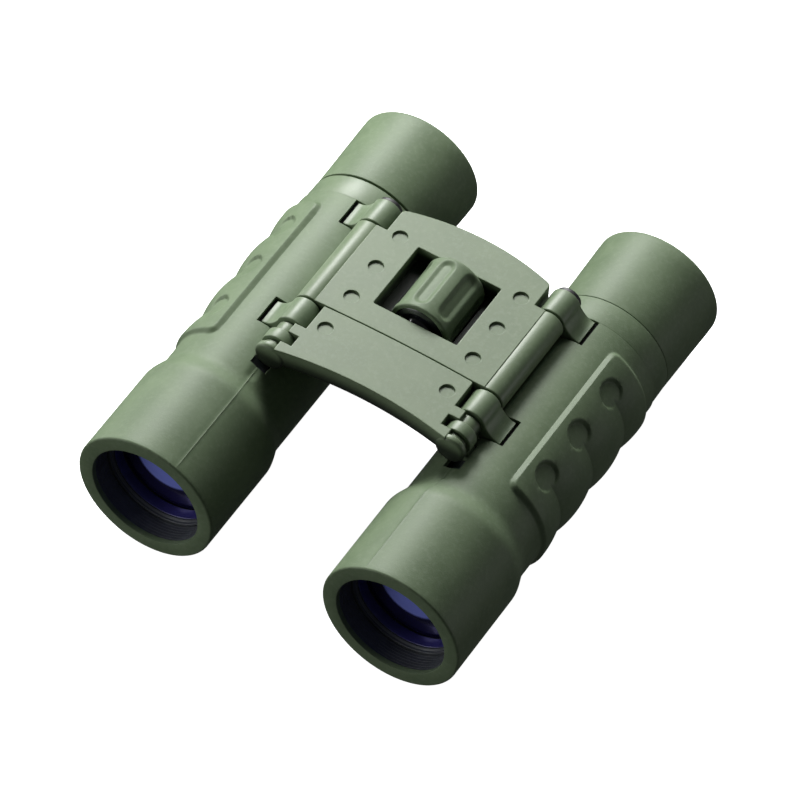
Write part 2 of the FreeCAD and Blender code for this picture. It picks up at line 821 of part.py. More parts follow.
def main_bridge():
    """The top plate that carries both hinge tubes, the wheel window and the finger studs."""
    bridge = Piece("main_bridge")
    top, base = cell("plate_top"), cell("plate_base")
    half, notch = cell("plate_half"), cell("notch_half")
    seam, back = cell("seam_y"), cell("plate_back")
    plate = outline(bridge.sketch("XY_Plane", base), [
        (-half, seam),
        (-notch, seam, -cell("seam_bow")),
        (notch, seam),
        (half, seam),
        (half, cell("tube_end")),
        (notch, cell("tube_end")),
        (notch, back),
        (notch - cell("corner_cut"), back + cell("corner_cut"), cell("back_bow")),
        (-notch + cell("corner_cut"), back + cell("corner_cut")),
        (-notch, back),
        (-notch, cell("tube_end")),
        (-half, cell("tube_end")),
    ])
    bridge.pad(plate, top - base)
    hollow_top = top - cell("plate_skin") - base
    hollow_half = notch - cell("hollow_side")
    hollow = box_outline(bridge.sketch("XY_Plane", base), -hollow_half, seam + cell("hollow_front"),
                         hollow_half, back - cell("hollow_back"))
    bridge.pocket(hollow, hollow_top, outward=True)
    window = box_outline(bridge.sketch("XY_Plane", base), -cell("window_half"), cell("window_front"),
                         cell("window_half"), cell("window_back"))
    bridge.pocket(window, DEEP, outward=True)
    for side in (-1, 1):
        x = side * cell("hinge_x")
        bridge.pad(disc(bridge.across(cell("tube_end")), x, cell("hinge_z"), cell("tube_radius")),
                   cell("tube_end") - seam)
        bore = disc(bridge.across(seam - CLEAR), x, cell("hinge_z"), cell("pin_radius"))
        bridge.pocket(bore, cell("tube_end") - seam + 2 * CLEAR)
        cut_groove(bridge, side, seam - CLEAR, cell("tube_end") - seam + 2 * CLEAR)
    axis, bush = cell("wheel_z"), cell("bush_radius")
    front_boss = cell("window_front") - cell("bush_gap")
    bosses = ((front_boss, cell("front_boss_reach")), (cell("rear_boss_back"), cell("rear_boss_reach")))
    for end, width in bosses:
        bridge.pad(disc(bridge.across(end), 0, axis, cell("boss_radius")), width)
    bush_front = front_boss - cell("front_bush_front")
    bridge.pocket(disc(bridge.across(bush_front), 0, axis, bush), cell("front_bush_front") + CLEAR)
    screw_hole = cell("screw_radius") + cell("screw_clearance")
    bridge.pocket(disc(bridge.across(seam - CLEAR), 0, axis, screw_hole), DEEP)
    rear_bush = disc(bridge.across(cell("window_back") - CLEAR), 0, axis, bush)
    bridge.pocket(rear_bush, cell("rear_bush_length") + cell("bush_gap") + CLEAR)
    studs = bridge.sketch("XY_Plane", top - cell("stud_depth"))
    for i in range(3):
        for side in (-1, 1):
            disc(studs, side * cell("stud_x"), cell("stud_first") + i * cell("stud_pitch"), cell("stud_radius"))
    bridge.pocket(studs, 2 * CLEAR, outward=True)
    screws = bridge.sketch("XY_Plane", base)
    for x, y in cover_screw_places():
        disc(screws, x, y, cell("screw_post_radius"))
    bridge.pad(screws, hollow_top + cell("fit_gap"))
    holes = bridge.sketch("XY_Plane", base)
    for x, y in cover_screw_places():
        disc(holes, x, y, cell("tapped_radius"))
    bridge.pocket(holes, 3 * CLEAR, outward=True)
    return bridge.finish()


def cover_screw_places():
    """Where the four cover screws enter the bridge."""
    rows = (cell("cover_screw_front"), cell("cover_screw_back"))
    return [(side * cell("cover_screw_x"), y) for side in (-1, 1) for y in rows]


def bridge_cover():
    """The underside cover with the trough that the wheel turns in."""
    cover = Piece("bridge_cover")
    base, top = cell("cover_base"), cell("plate_base")
    half = cell("notch_half") - cell("cover_side_gap")
    plate = box_outline(cover.sketch("XY_Plane", base), -half, cell("seam_y") + cell("cover_front_gap"),
                        half, cell("plate_back") - cell("cover_back_gap"))
    cover.pad(plate, top - base)
    wall = cell("cover_wall")
    front, back = cell("window_front") - wall, cell("window_back") + wall
    trough = outline(cover.across(back), [
        (-cell("trough_radius"), cell("wheel_z"), cell("trough_radius") + 0.001),
        (cell("trough_radius"), cell("wheel_z")),
    ])
    cover.pad(trough, back - front)
    hollow = disc(cover.across(front + wall), 0, cell("wheel_z"), cell("trough_bore"))
    cover.pocket(hollow, back - front - 2 * wall)
    for start in (cell("seam_y"), cell("window_back")):
        boss = disc(cover.across(start), 0, cell("wheel_z"), cell("boss_radius") + cell("running_gap"))
        cover.pocket(boss, cell("window_front") - cell("seam_y") + cell("bush_gap"))
    above = box_outline(cover.sketch("XY_Plane", top), -half, cell("seam_y") - CLEAR,
                        half, cell("plate_back") + CLEAR)
    cover.pocket(above, 4 * CLEAR, outward=True)
    holes = cover.sketch("XY_Plane", base)
    for x, y in cover_screw_places():
        disc(holes, x, y, cell("cover_hole_radius"))
    cover.pocket(holes, 3 * CLEAR, outward=True)
    sinks = cover.sketch("XY_Plane", base)
    for x, y in cover_screw_places():
        disc(sinks, x, y, cell("cover_sink_radius"))
    cover.pocket(sinks, cell("cover_sink_depth"), outward=True)
    return cover.finish()


def cover_screws():
    """Four small screws that hold the cover to the bridge."""
    screws = Piece("cover_screws")
    base = cell("cover_base") + cell("fit_gap")
    for radius, length in (
        (cell("cover_screw_radius"), cell("cover_screw_length")),
        (cell("cover_head_radius"), cell("cover_head_depth")),
    ):
        sketch = screws.sketch("XY_Plane", base)
        for x, y in cover_screw_places():
            disc(sketch, x, y, radius)
        screws.pad(sketch, length)
    return screws.finish()


def front_bridge():
    """The sliding plate that the focus screw pushes, with two knuckles on each hinge pin."""
    bridge = Piece("front_bridge")
    top, base = cell("plate_top"), cell("plate_base")
    half, notch = cell("plate_half"), cell("notch_half")
    slot = notch + cell("fit_gap")
    cut = cell("front_corner_cut")
    back = cell("seam_y") - cell("seam_gap")
    right_side = [
        (notch, back - cut),
        (notch, cell("knuckle_back")),
        (half, cell("knuckle_back")),
        (half, cell("slot_back")),
        (slot, cell("slot_back")),
        (slot, cell("slot_front")),
        (half, cell("slot_front")),
    ]
    left_side = [(-x, y) for x, y in right_side][::-1]
    corners = [(-notch + cut, back, -cell("seam_bow")), (notch - cut, back)] + right_side
    corners += [(half, cell("bridge_front"), cell("front_bow")), (-half, cell("bridge_front"))] + left_side
    bridge.pad(outline(bridge.sketch("XY_Plane", base), corners), top - base)
    for side in (-1, 1):
        x = side * cell("hinge_x")
        knuckles = ((cell("knuckle_back"), cell("slot_back")), (cell("slot_front"), cell("bridge_front")))
        for end, front in knuckles:
            bridge.pad(disc(bridge.across(end), x, cell("hinge_z"), cell("tube_radius")), end - front)
            cut_groove(bridge, side, front, end - front)
        bore = disc(bridge.across(cell("bridge_front") + cell("blind_end")), x, cell("hinge_z"), PIN_HOLE)
        bridge.pocket(bore, cell("knuckle_back") - cell("bridge_front") + CLEAR)
    boss = disc(bridge.across(back - cell("disc_rise")), 0, cell("wheel_z"), cell("boss_radius"))
    bridge.pad(boss, cell("front_boss_length"))
    screw_seat = disc(bridge.across(cell("screw_front")), 0, cell("wheel_z"), cell("screw_radius"))
    bridge.pocket(screw_seat, 1.5 * DEEP)
    studs = bridge.sketch("XY_Plane", top - cell("stud_depth"))
    for side in (-1, 1):
        disc(studs, side * cell("stud_x"), cell("front_stud_y"), cell("stud_radius"))
    bridge.pocket(studs, 2 * CLEAR, outward=True)
    for side in (-1, 1):
        low, high = sorted((side * cell("room_inside"), side * cell("room_outside")), key=lambda d: d.value)
        room = box_outline(bridge.sketch("XY_Plane", base), low, cell("room_front"), high, cell("room_back"))
        bridge.pocket(room, cell("room_depth"), outward=True)
    return bridge.finish()


def focus_parts():
    """The fluted wheel, its black end cap, the brass nut, the lead screw and two bushes."""
    z = cell("wheel_z")
    rim, radius = cell("wheel_round"), cell("wheel_radius")
    front, back = cell("wheel_front"), cell("wheel_back")
    inner, journal = cell("bush_radius"), cell("journal_radius")
    recess = cell("wheel_recess")

    wheel = Piece("focus_wheel")
    profile = outline(wheel.sketch("XY_Plane", z), [
        (inner, front + recess),
        (cell("wheel_recess_radius"), front + recess),
        (cell("wheel_recess_radius"), front),
        (radius - rim, front, rim),
        (radius, front + rim),
        (radius, back - rim, rim),
        (radius - rim, back),
        (journal, back),
        (journal, back + cell("journal_length")),
        (Dim(0), back + cell("journal_length")),
        (Dim(0), back - cell("nut_stop")),
        (inner, back - cell("nut_stop")),
    ])
    wheel.turned(profile)
    turn = math.radians(FLUTE_TURN)
    reach = radius - cell("flute_depth") + cell("flute_radius")
    flute_end = wheel.across(front + cell("flute_start"))
    flute = disc(flute_end, reach * math.cos(turn), z + reach * math.sin(turn), cell("flute_radius"))
    first = wheel.pocket(flute, back - front - cell("flute_margin"))
    around = wheel.body.newObject("PartDesign::PolarPattern", "flutes")
    around.Originals = [first]
    around.Axis = (profile, ["V_Axis"])
    around.Angle = 360
    around.Occurrences = int(SIZES["flute_count"])
    wheel.body.Tip = around
    wheel.finish()

    cap = Piece("focus_wheel_cap")
    cap.turned(outline(cap.sketch("XY_Plane", z), [
        (inner, front + recess),
        (inner, front - cell("disc_rise")),
        (cell("disc_crown_radius"), front - cell("disc_rise")),
        (cell("disc_radius"), front + cell("disc_edge")),
        (cell("disc_radius"), front + recess),
    ]))
    cap.finish()

    nut = Piece("focus_nut")
    thread = cell("screw_radius") + cell("running_gap")
    nut.turned(outline(nut.sketch("XY_Plane", z), [
        (thread, front - cell("nut_nose")),
        (journal, front - cell("nut_nose")),
        (journal, front - cell("nut_shoulder")),
        (inner, front - cell("nut_shoulder")),
        (inner, back - cell("nut_stop")),
        (thread, back - cell("nut_stop")),
    ]))
    nut.finish()

    screw = Piece("focus_screw")
    length = cell("screw_back") - cell("screw_front")
    screw.pad(disc(screw.across(cell("screw_back")), 0, z, cell("screw_radius")), length)
    screw.finish()

    for name, start, end in (
        ("front_wheel_bush", cell("window_front") - cell("front_bush_front"),
         cell("window_front") - cell("bush_gap")),
        ("rear_wheel_bush", cell("window_back") + cell("bush_gap"),
         cell("window_back") + cell("rear_bush_length")),
    ):
        bush = Piece(name)
        bush.pad(disc(bush.across(end), 0, z, inner), end - start)
        bush.pocket(disc(bush.across(start - CLEAR), 0, z, journal + cell("running_gap")), DEEP)
        bush.finish()


def collars():
    """The dioptre ring on the user's right barrel and the fixed collar on the left one."""
    for name, side, back in (
        ("right_dioptre_ring", RIGHT, cell("ring_back")),
        ("left_eyepiece_collar", LEFT, cell("cup_front") - cell("running_gap")),
    ):
        ring = Piece(name, side)
        inner = cell("neck_radius") + cell("running_gap")
        outer, chamfer = cell("ring_radius"), cell("ring_chamfer")
        ring.turned(outline(ring.sketch("XY_Plane"), [
            (inner, cell("ring_front")),
            (outer - chamfer, cell("ring_front")),
            (outer, cell("ring_front") + chamfer),
            (outer, back - chamfer),
            (outer - chamfer, back),
            (inner, back),
        ]))
        ring.finish()


def build():
    """Make every piece, then check and write them."""
    fill_sheet()
    for prefix, side in (("right", RIGHT), ("left", LEFT)):
        barrel_shell(f"{prefix}_barrel_shell", side)
        barrel_armour(f"{prefix}_barrel_armour", side)
        objective_parts(prefix, side)
        prism_parts(prefix, side)
        eyepiece_parts(prefix, side, cell("cup_front"))
        hinge_parts(prefix, side)
    collars()
    main_bridge()
    bridge_cover()
    cover_screws()
    front_bridge()
    focus_parts()
    write_parts()


def write_parts():
    """Refuse a failed feature or a bad solid, then export one STEP file for each piece."""
    doc.recompute()
    failed = [o.Name for o in doc.Objects if "Invalid" in o.State or "Error" in o.State]
    if failed:
        raise RuntimeError(f"features that failed: {failed}")
    bodies = [o for o in doc.Objects if o.TypeId == "PartDesign::Body"]
    for body in bodies:
        if body.Shape.isNull() or not body.Shape.isValid() or not body.Shape.Solids:
            raise RuntimeError(f"{body.Label} has no valid solid")
    os.makedirs("parts", exist_ok=True)
    for body in bodies:
        body.Shape.exportStep(os.path.join("parts", f"{body.Label}.step"))
        size = body.Shape.BoundBox
        print(f"{body.Label:26s} solids {len(body.Shape.Solids)} volume {body.Shape.Volume:9.1f} "
              f"x {size.XMin:7.2f} {size.XMax:7.2f} y {size.YMin:7.2f} {size.YMax:7.2f} "
              f"z {size.ZMin:6.2f} {size.ZMax:6.2f}")


build()
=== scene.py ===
"""Compact folding binoculars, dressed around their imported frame.

Shapes are worked out in the maker's frame, in millimetres: x from the middle, y from the
objective rims towards the eyepieces and z above the plane of the two optical axes.
"""

import json
import logging
import math
from collections.abc import Callable, Iterable, Sequence
from dataclasses import dataclass
from enum import Enum

import bmesh
import bpy
import numpy as np
from mathutils import Matrix, Vector
from mathutils.geometry import tessellate_polygon


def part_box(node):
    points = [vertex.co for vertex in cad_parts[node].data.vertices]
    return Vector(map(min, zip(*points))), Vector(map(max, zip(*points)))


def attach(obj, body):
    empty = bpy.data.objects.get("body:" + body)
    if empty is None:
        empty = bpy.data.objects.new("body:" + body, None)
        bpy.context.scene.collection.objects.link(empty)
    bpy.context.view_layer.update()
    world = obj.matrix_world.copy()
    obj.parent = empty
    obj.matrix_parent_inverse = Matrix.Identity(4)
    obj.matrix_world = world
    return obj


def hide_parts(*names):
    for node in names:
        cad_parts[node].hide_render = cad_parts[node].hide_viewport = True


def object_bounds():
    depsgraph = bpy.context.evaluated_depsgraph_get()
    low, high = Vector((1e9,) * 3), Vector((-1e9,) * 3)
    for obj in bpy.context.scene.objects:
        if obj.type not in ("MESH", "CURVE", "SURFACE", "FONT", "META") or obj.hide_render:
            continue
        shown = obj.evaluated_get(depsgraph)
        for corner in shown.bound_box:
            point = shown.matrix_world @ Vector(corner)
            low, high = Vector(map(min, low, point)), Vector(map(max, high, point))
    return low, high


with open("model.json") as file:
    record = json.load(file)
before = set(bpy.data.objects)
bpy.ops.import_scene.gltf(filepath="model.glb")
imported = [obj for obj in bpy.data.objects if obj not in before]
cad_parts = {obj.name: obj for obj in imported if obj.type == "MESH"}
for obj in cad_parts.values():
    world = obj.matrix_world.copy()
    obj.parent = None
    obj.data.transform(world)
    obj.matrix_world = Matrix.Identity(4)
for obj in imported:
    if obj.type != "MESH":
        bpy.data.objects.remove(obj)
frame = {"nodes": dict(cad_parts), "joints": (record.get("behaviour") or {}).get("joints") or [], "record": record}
CAD_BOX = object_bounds()

MM = 0.001
SHARP_ANGLE = math.radians(32)
EDGE_STEPS = 4
LIT_POINT = Vector((0, 0, 0.02))
FLOOR_REACH = 4.0

# For each lamp: its direction, distance and size in metres, and power in watts.
LAMPS = {
    "key": ((-0.58, 0.55, 0.6), 0.6, (0.24, 0.24), 6.0),
    "back_key": ((-0.15, 0.75, 0.6), 0.6, (0.35, 0.35), 1.2),
    "left_fill": ((-1.0, 0.1, 0.12), 0.45, (0.3, 0.2), 0.9),
    "front_fill": ((-0.75, -0.85, 0.12), 0.6, (0.4, 0.3), 1.5),
    "right_rim": ((0.95, 0.4, 0.06), 0.6, (0.2, 0.12), 0.3),
}

Colour = tuple[float, float, float]
Spot = tuple[float, float]
Corner = tuple[float, ...]
log = logging.getLogger("binoculars")


class Side(Enum):
    """The user's hands: looking towards -Y, the right hand is at -X."""

    RIGHT = -1
    LEFT = 1

    @property
    def prefix(self) -> str:
        """The word that starts the names of this side's nodes."""
        return self.name.lower()


class Axis(Enum):
    """The direction that a slab is thick in."""

    UP = (0, 1, 2)
    ALONG = (0, 2, 1)


# ---------------------------------------------------------------- nodes


def math_operator(operation: str, mirrored: bool = False) -> Callable[["Wire", "Wire | float"], "Wire"]:
    """Make a Python operator that adds one Math node.

    Args:
        operation: the node's operation.
        mirrored: whether the wire stands on the right, as in 1 - wire.

    Returns:
        The method for the operator.
    """
    def apply(wire: "Wire", other: "Wire | float") -> "Wire":
        """Join the wire and the other value."""
        return wire.bench.math(operation, *((other, wire) if mirrored else (wire, other)))

    return apply


class Wire:
    """A node socket that plain Python arithmetic can be written on."""

    __add__, __radd__ = math_operator("ADD"), math_operator("ADD", True)
    __sub__, __rsub__ = math_operator("SUBTRACT"), math_operator("SUBTRACT", True)
    __mul__, __rmul__ = math_operator("MULTIPLY"), math_operator("MULTIPLY", True)
    __truediv__, __rtruediv__ = math_operator("DIVIDE"), math_operator("DIVIDE", True)

    def __init__(self, bench: "Bench", socket: bpy.types.NodeSocket) -> None:
        """Hold the socket and the bench that its tree belongs to."""
        self.bench = bench
        self.socket = socket

    def call(self, operation: str, *others: "Wire | float") -> "Wire":
        """Any other Math operation, such as SQRT or ARCTAN2."""
        return self.bench.math(operation, self, *others)

    def eased(self, low: float, high: float) -> "Wire":
        """Rise smoothly from 0 at low to 1 at high."""
        ends = {"Value": self, "From Min": low, "From Max": high}
        return self.bench.node("ShaderNodeMapRange", {"interpolation_type": "SMOOTHSTEP"}, ends)

    def also(self, output: str | int) -> "Wire":
        """Another output of the same node."""
        return Wire(self.bench, self.socket.node.outputs[output])


class Bench:
    """A node tree and the one method that puts nodes into it."""

    def __init__(self, tree: bpy.types.NodeTree) -> None:
        """Work on this tree."""
        self.tree = tree

    def feed(self, socket: bpy.types.NodeSocket, value: object) -> None:
        """Join a wire to a socket, or set the socket's own value."""
        if isinstance(value, Wire):
            self.tree.links.new(value.socket, socket)
        else:
            socket.default_value = value

    def node(self, kind: str, settings: dict | None = None, inputs: dict | None = None,
             output: str | int = 0) -> Wire:
        """Add a node.

        Args:
            kind: the node's type.
            settings: properties that are set first.
            inputs: values or wires for its sockets, by name or number.
            output: which output to return.

        Returns:
            The wire that leaves the chosen output, or the first input of a node that has no output.
        """
        made = self.tree.nodes.new(kind)
        for key, value in (settings or {}).items():
            setattr(made, key, value)
        for key, value in (inputs or {}).items():
            self.feed(made.inputs[key], value)
        return Wire(self, made.outputs[output] if made.outputs else made.inputs[0])

    def math(self, operation: str, *values: Wire | float) -> Wire:
        """Add one Math node over these values."""
        return self.node("ShaderNodeMath", {"operation": operation}, dict(enumerate(values)))

    def split(self, place: Wire) -> Wire:
        """The X of a place; its Y and Z are the node's other outputs."""
        return self.node("ShaderNodeSeparateXYZ", {}, {0: place})


class Paintwork(Bench):
    """A material under construction, with one Principled surface."""

    def __init__(self, name: str) -> None:
        """Start an empty material of this name."""
        self.material = bpy.data.materials.new(name)
        self.material.use_nodes = True
        super().__init__(self.material.node_tree)
        self.tree.nodes.clear()
        self.place = self.node("ShaderNodeTexCoord", output="Object")

    def noise(self, size_mm: float, detail: float = 2.0, rough: float = 0.5) -> Wire:
        """Soft noise between 0 and 1 whose blobs are about this size."""
        inputs = {"Vector": self.place, "Scale": 1 / (size_mm * MM), "Detail": detail, "Roughness": rough}
        return self.node("ShaderNodeTexNoise", {}, inputs)

    def specks(self, cell_mm: float, speck_mm: float, share: float) -> Wire:
        """Small round specks, 1 inside, in a share of the cells of a Voronoi pattern."""
        cells = self.node("ShaderNodeTexVoronoi", {}, {"Vector": self.place, "Scale": 1 / (cell_mm * MM)})
        reach = speck_mm / cell_mm
        chosen = self.node("ShaderNodeSeparateColor", {}, {0: cells.also("Color")}).call("LESS_THAN", share)
        return (1 - cells.eased(reach * 0.6, reach)) * chosen

    def blend(self, factor: Wire | float, low: Wire | Colour, high: Wire | Colour) -> Wire:
        """Mix two colours."""
        ends = [c if isinstance(c, Wire) else (*c, 1.0) for c in (low, high)]
        return self.node("ShaderNodeMix", {"data_type": "RGBA"}, {0: factor, 6: ends[0], 7: ends[1]}, output=2)

    def bump(self, height: Wire, depth_mm: float) -> Wire:
        """A normal that rises and falls with this height, up to a depth."""
        return self.node("ShaderNodeBump", {}, {"Height": height, "Distance": depth_mm * MM, "Strength": 1.0})

    def surface(self, **sockets: Wire | float | Colour) -> bpy.types.Material:
        """Finish with a Principled surface; a socket's name is written with underscores."""
        shader = self.node("ShaderNodeBsdfPrincipled")
        for socket in shader.socket.node.inputs:
            value = sockets.get(socket.name.lower().replace(" ", "_"))
            if value is not None:
                self.feed(socket, (*value, 1.0) if isinstance(value, tuple) else value)
        self.node("ShaderNodeOutputMaterial", {}, {"Surface": shader})
        return self.material


# ---------------------------------------------------------------- finishes


@dataclass(frozen=True, kw_only=True)
class GreenSkin:
    """A sage-green skin: mottled pigment, a fine grain, pores and dust."""

    name: str
    pigment: Colour = (0.13, 0.178, 0.102)
    deep: Colour = (0.115, 0.161, 0.091)
    bloom: Colour = (0.2, 0.245, 0.17)
    roughness: float = 0.42
    grain_mm: float = 0.16
    grain_depth_mm: float = 0.012
    dust_share: float = 0.16
    shine: float = 0.36

    def make(self) -> bpy.types.Material:
        """Build the material."""
        paint = Paintwork(self.name)
        mottle = paint.noise(9.0, 3.0, 0.55)
        fine = paint.noise(1.1, 3.0, 0.6)
        grain = paint.noise(self.grain_mm, 2.0, 0.55)
        pores = paint.specks(cell_mm=3.1, speck_mm=0.16, share=0.18)
        dust = paint.specks(cell_mm=2.3, speck_mm=0.13, share=self.dust_share)
        colour = paint.blend(mottle.eased(0.3, 0.72), self.deep, self.pigment)
        colour = paint.blend(fine.eased(0.42, 0.8) * 0.3, colour, self.bloom)
        colour = paint.blend(pores * 0.35, colour, self.deep)
        colour = self.tone(paint, paint.blend(dust * 0.4, colour, self.bloom))
        height = grain + fine * 0.8 - pores * 0.9 + dust * 0.7
        rough = self.roughness + (mottle - 0.5) * 0.1 + (fine - 0.5) * 0.12 + dust * 0.15
        return paint.surface(
            base_color=colour,
            roughness=rough,
            normal=paint.bump(height, self.grain_depth_mm),
            specular_ior_level=self.shine,
            sheen_weight=0.02,
            sheen_roughness=0.5,
        )

    def tone(self, paint: Paintwork, colour: Wire) -> Wire:
        """Leave the colour as it is."""
        return colour


@dataclass(frozen=True, kw_only=True)
class ShadedBridgeSkin(GreenSkin):
    """The same paint with painted shade: it darkens to near black in the bridge's recesses and under its edges."""

    pigment: Colour = (0.132, 0.178, 0.102)
    deep: Colour = (0.117, 0.161, 0.091)
    # Painted shade: the near-black colour below the top face, full below the deepest level and gone above the
    # upper one.
    painted_shade: Colour = (0.012, 0.018, 0.01)
    bare_mm: float
    full_mm: float
    half_mm: float

    def tone(self, paint: Paintwork, colour: Wire) -> Wire:
        """Paint shade: darken the colour below the top face, between the hinge tubes."""
        place = paint.split(paint.place)
        below = 1 - place.also("Z").eased(self.bare_mm * MM, self.full_mm * MM)
        between = place.call("ABSOLUTE").call("LESS_THAN", self.half_mm * MM)
        return paint.blend(below * between, colour, self.painted_shade)


@dataclass(frozen=True, kw_only=True)
class BlackMoulding:
    """Black plastic or anodising, with a light haze and fine scuffs."""

    name: str
    colour: Colour
    haze: Colour
    scuff: Colour = (0.09, 0.095, 0.09)
    roughness: float
    gloss: float = 0.0
    grain_depth_mm: float = 0.01
    shine: float = 0.5

    def make(self) -> bpy.types.Material:
        """Build the material."""
        paint = Paintwork(self.name)
        haze = paint.noise(4.0, 4.0, 0.6)
        grain = paint.noise(0.22, 2.0)
        scuffs = paint.specks(cell_mm=1.9, speck_mm=0.1, share=0.25)
        colour = paint.blend(haze.eased(0.35, 0.8), self.colour, self.haze)
        return paint.surface(
            base_color=paint.blend(scuffs * 0.5, colour, self.scuff),
            roughness=self.roughness + (haze - 0.5) * 0.12 + scuffs * 0.2,
            normal=paint.bump(grain, self.grain_depth_mm),
            specular_ior_level=self.shine,
            coat_weight=self.gloss,
            coat_roughness=0.08,
        )


@dataclass(frozen=True, kw_only=True)
class TurnedMetal:
    """Bare turned metal: rings around the Y axis and a little tarnish."""

    name: str
    colour: Colour
    tarnish: Colour
    roughness: float
    ring_mm: float = 0.12
    ring_depth_mm: float = 0.004

    def make(self) -> bpy.types.Material:
        """Build the material."""
        paint = Paintwork(self.name)
        along = paint.split(paint.place).also("Y")
        rings = (along * (2 * math.pi / (self.ring_mm * MM))).call("SINE")
        patches = paint.noise(2.4, 4.0, 0.6)
        return paint.surface(
            base_color=paint.blend(patches.eased(0.4, 0.75), self.colour, self.tarnish),
            metallic=1.0,
            roughness=self.roughness + (patches - 0.5) * 0.15,
            normal=paint.bump(rings, self.ring_depth_mm),
        )


@dataclass(frozen=True, kw_only=True)
class CoatedLens:
    """Dark optical glass under an anti-reflection coating, with a painted reflection and a few motes of dust."""

    name: str = "blue_violet_lens"
    depth: Colour = (0.009, 0.008, 0.03)
    rim: Colour = (0.012, 0.01, 0.045)
    coat: Colour = (0.42, 0.40, 1.0)
    # Painted reflection: its colour, and where its disc sits on the lens.
    glow: Colour = (0.25, 0.3, 0.9)
    dust: Colour = (0.25, 0.26, 0.3)
    glow_x_mm: float = 31.0
    glow_z_mm: float = 20.0
    glow_radius_mm: float = 8.6
    haze: float = 0.03

    def make(self) -> bpy.types.Material:
        """Build the material: navy depths, with a painted reflection, a blue-violet disc above the middle of the
        inner glass.
        """
        paint = Paintwork(self.name)
        cloud = paint.noise(6.0, 2.0, 0.4)
        motes = paint.specks(cell_mm=2.6, speck_mm=0.08, share=0.3)
        place = paint.split(paint.place)
        across = place.call("ABSOLUTE") - self.glow_x_mm * MM
        above = place.also("Z") - self.glow_z_mm * MM
        reach = (across * across + above * above).call("SQRT") / (self.glow_radius_mm * MM)
        colour = paint.blend(cloud.eased(0.35, 0.7), self.depth, self.rim)
        # Painted reflection: a blue-violet disc set off from each lens's centre.
        colour = paint.blend(1 - reach.eased(0.9, 1.02), colour, self.glow)
        return paint.surface(
            base_color=paint.blend(motes * 0.3, colour, self.dust),
            roughness=self.haze + motes * 0.3 + cloud * 0.02,
            ior=1.9,
            specular_ior_level=0.9,
            specular_tint=self.coat,
        )


@dataclass(frozen=True, kw_only=True)
class ClearGlass:
    """Polished glass of the inner lenses and prisms."""

    name: str = "polished_glass"
    tint: Colour = (0.62, 0.7, 0.7)
    cloud: Colour = (0.5, 0.58, 0.6)

    def make(self) -> bpy.types.Material:
        """Build the material."""
        paint = Paintwork(self.name)
        clouds = paint.noise(5.0, 2.0)
        return paint.surface(
            base_color=paint.blend(clouds, self.tint, self.cloud),
            roughness=0.03 + clouds * 0.03,
            ior=1.52,
            transmission_weight=0.9,
        )


class Finish(Enum):
    """Every finish on the object, with the record's material slot that it belongs to."""

    RUBBER = ("green_rubber", GreenSkin(
        name="green_rubber_skin", pigment=(0.126, 0.175, 0.098), deep=(0.104, 0.148, 0.081),
        bloom=(0.2, 0.25, 0.17), roughness=0.52, grain_mm=0.24, grain_depth_mm=0.03, dust_share=0.3, shine=0.28))
    CASTING = ("green_casting", GreenSkin(name="green_casting_paint"))
    # The main and front plates get painted shade below their top faces: in the wheel's well, on the front skirt
    # and under the edges.
    BRIDGE = ("green_casting", ShadedBridgeSkin(
        name="green_bridge_paint", bare_mm=35.2, full_mm=37.5, half_mm=19.2))
    FRONT = ("green_casting", ShadedBridgeSkin(
        name="green_front_bridge_paint", bare_mm=33.6, full_mm=37.3, half_mm=30.0))
    WHEEL = ("green_casting", GreenSkin(
        name="green_wheel_paint", pigment=(0.122, 0.168, 0.097), deep=(0.105, 0.148, 0.083),
        bloom=(0.19, 0.235, 0.16), roughness=0.52, dust_share=0.2, shine=0.24))
    # Painted shadow: a near-black, dull paint for the shell's outer wall, so the gaps round the lugs and the slot
    # read as deep shade.
    UNDER = ("green_casting", BlackMoulding(
        name="bare_casting_under_rubber", colour=(0.003, 0.0035, 0.003), haze=(0.006, 0.007, 0.006),
        roughness=0.85, shine=0.08))
    BLACK = ("black_plastic", BlackMoulding(
        name="black_plastic_matt", colour=(0.008, 0.008, 0.009), haze=(0.016, 0.016, 0.018), roughness=0.5))
    GLOSS = ("gloss_black", BlackMoulding(
        name="gloss_black_disc", colour=(0.004, 0.004, 0.007), haze=(0.008, 0.007, 0.014), roughness=0.22,
        gloss=0.8, grain_depth_mm=0.004))
    ANODISED = ("black_aluminium", BlackMoulding(
        name="black_anodised", colour=(0.06, 0.066, 0.075), haze=(0.085, 0.094, 0.105), roughness=0.42,
        grain_depth_mm=0.006))
    # Painted reflection: black metal coloured violet where the coating's light shows on it.
    VIOLET_RING = ("black_aluminium", BlackMoulding(
        name="violet_lit_ring", colour=(0.03, 0.028, 0.15), haze=(0.045, 0.04, 0.21), roughness=0.34,
        gloss=0.3, grain_depth_mm=0.004))
    LENS = ("coated_glass", CoatedLens())
    CLEAR = ("clear_glass", ClearGlass())
    STEEL = ("steel", TurnedMetal(
        name="ground_steel", colour=(0.56, 0.56, 0.57), tarnish=(0.36, 0.35, 0.34), roughness=0.28))
    BRASS = ("brass", TurnedMetal(
        name="turned_brass", colour=(0.72, 0.53, 0.24), tarnish=(0.42, 0.29, 0.12), roughness=0.3))

    @property
    def slot(self) -> str:
        """The record's slot that this finish belongs to."""
        return self.value[0]

    def material(self) -> bpy.types.Material:
        """The finish's material, built the first time that it is asked for."""
        recipe = self.value[1]
        return bpy.data.materials.get(recipe.name) or recipe.make()


# ---------------------------------------------------------------- outlines


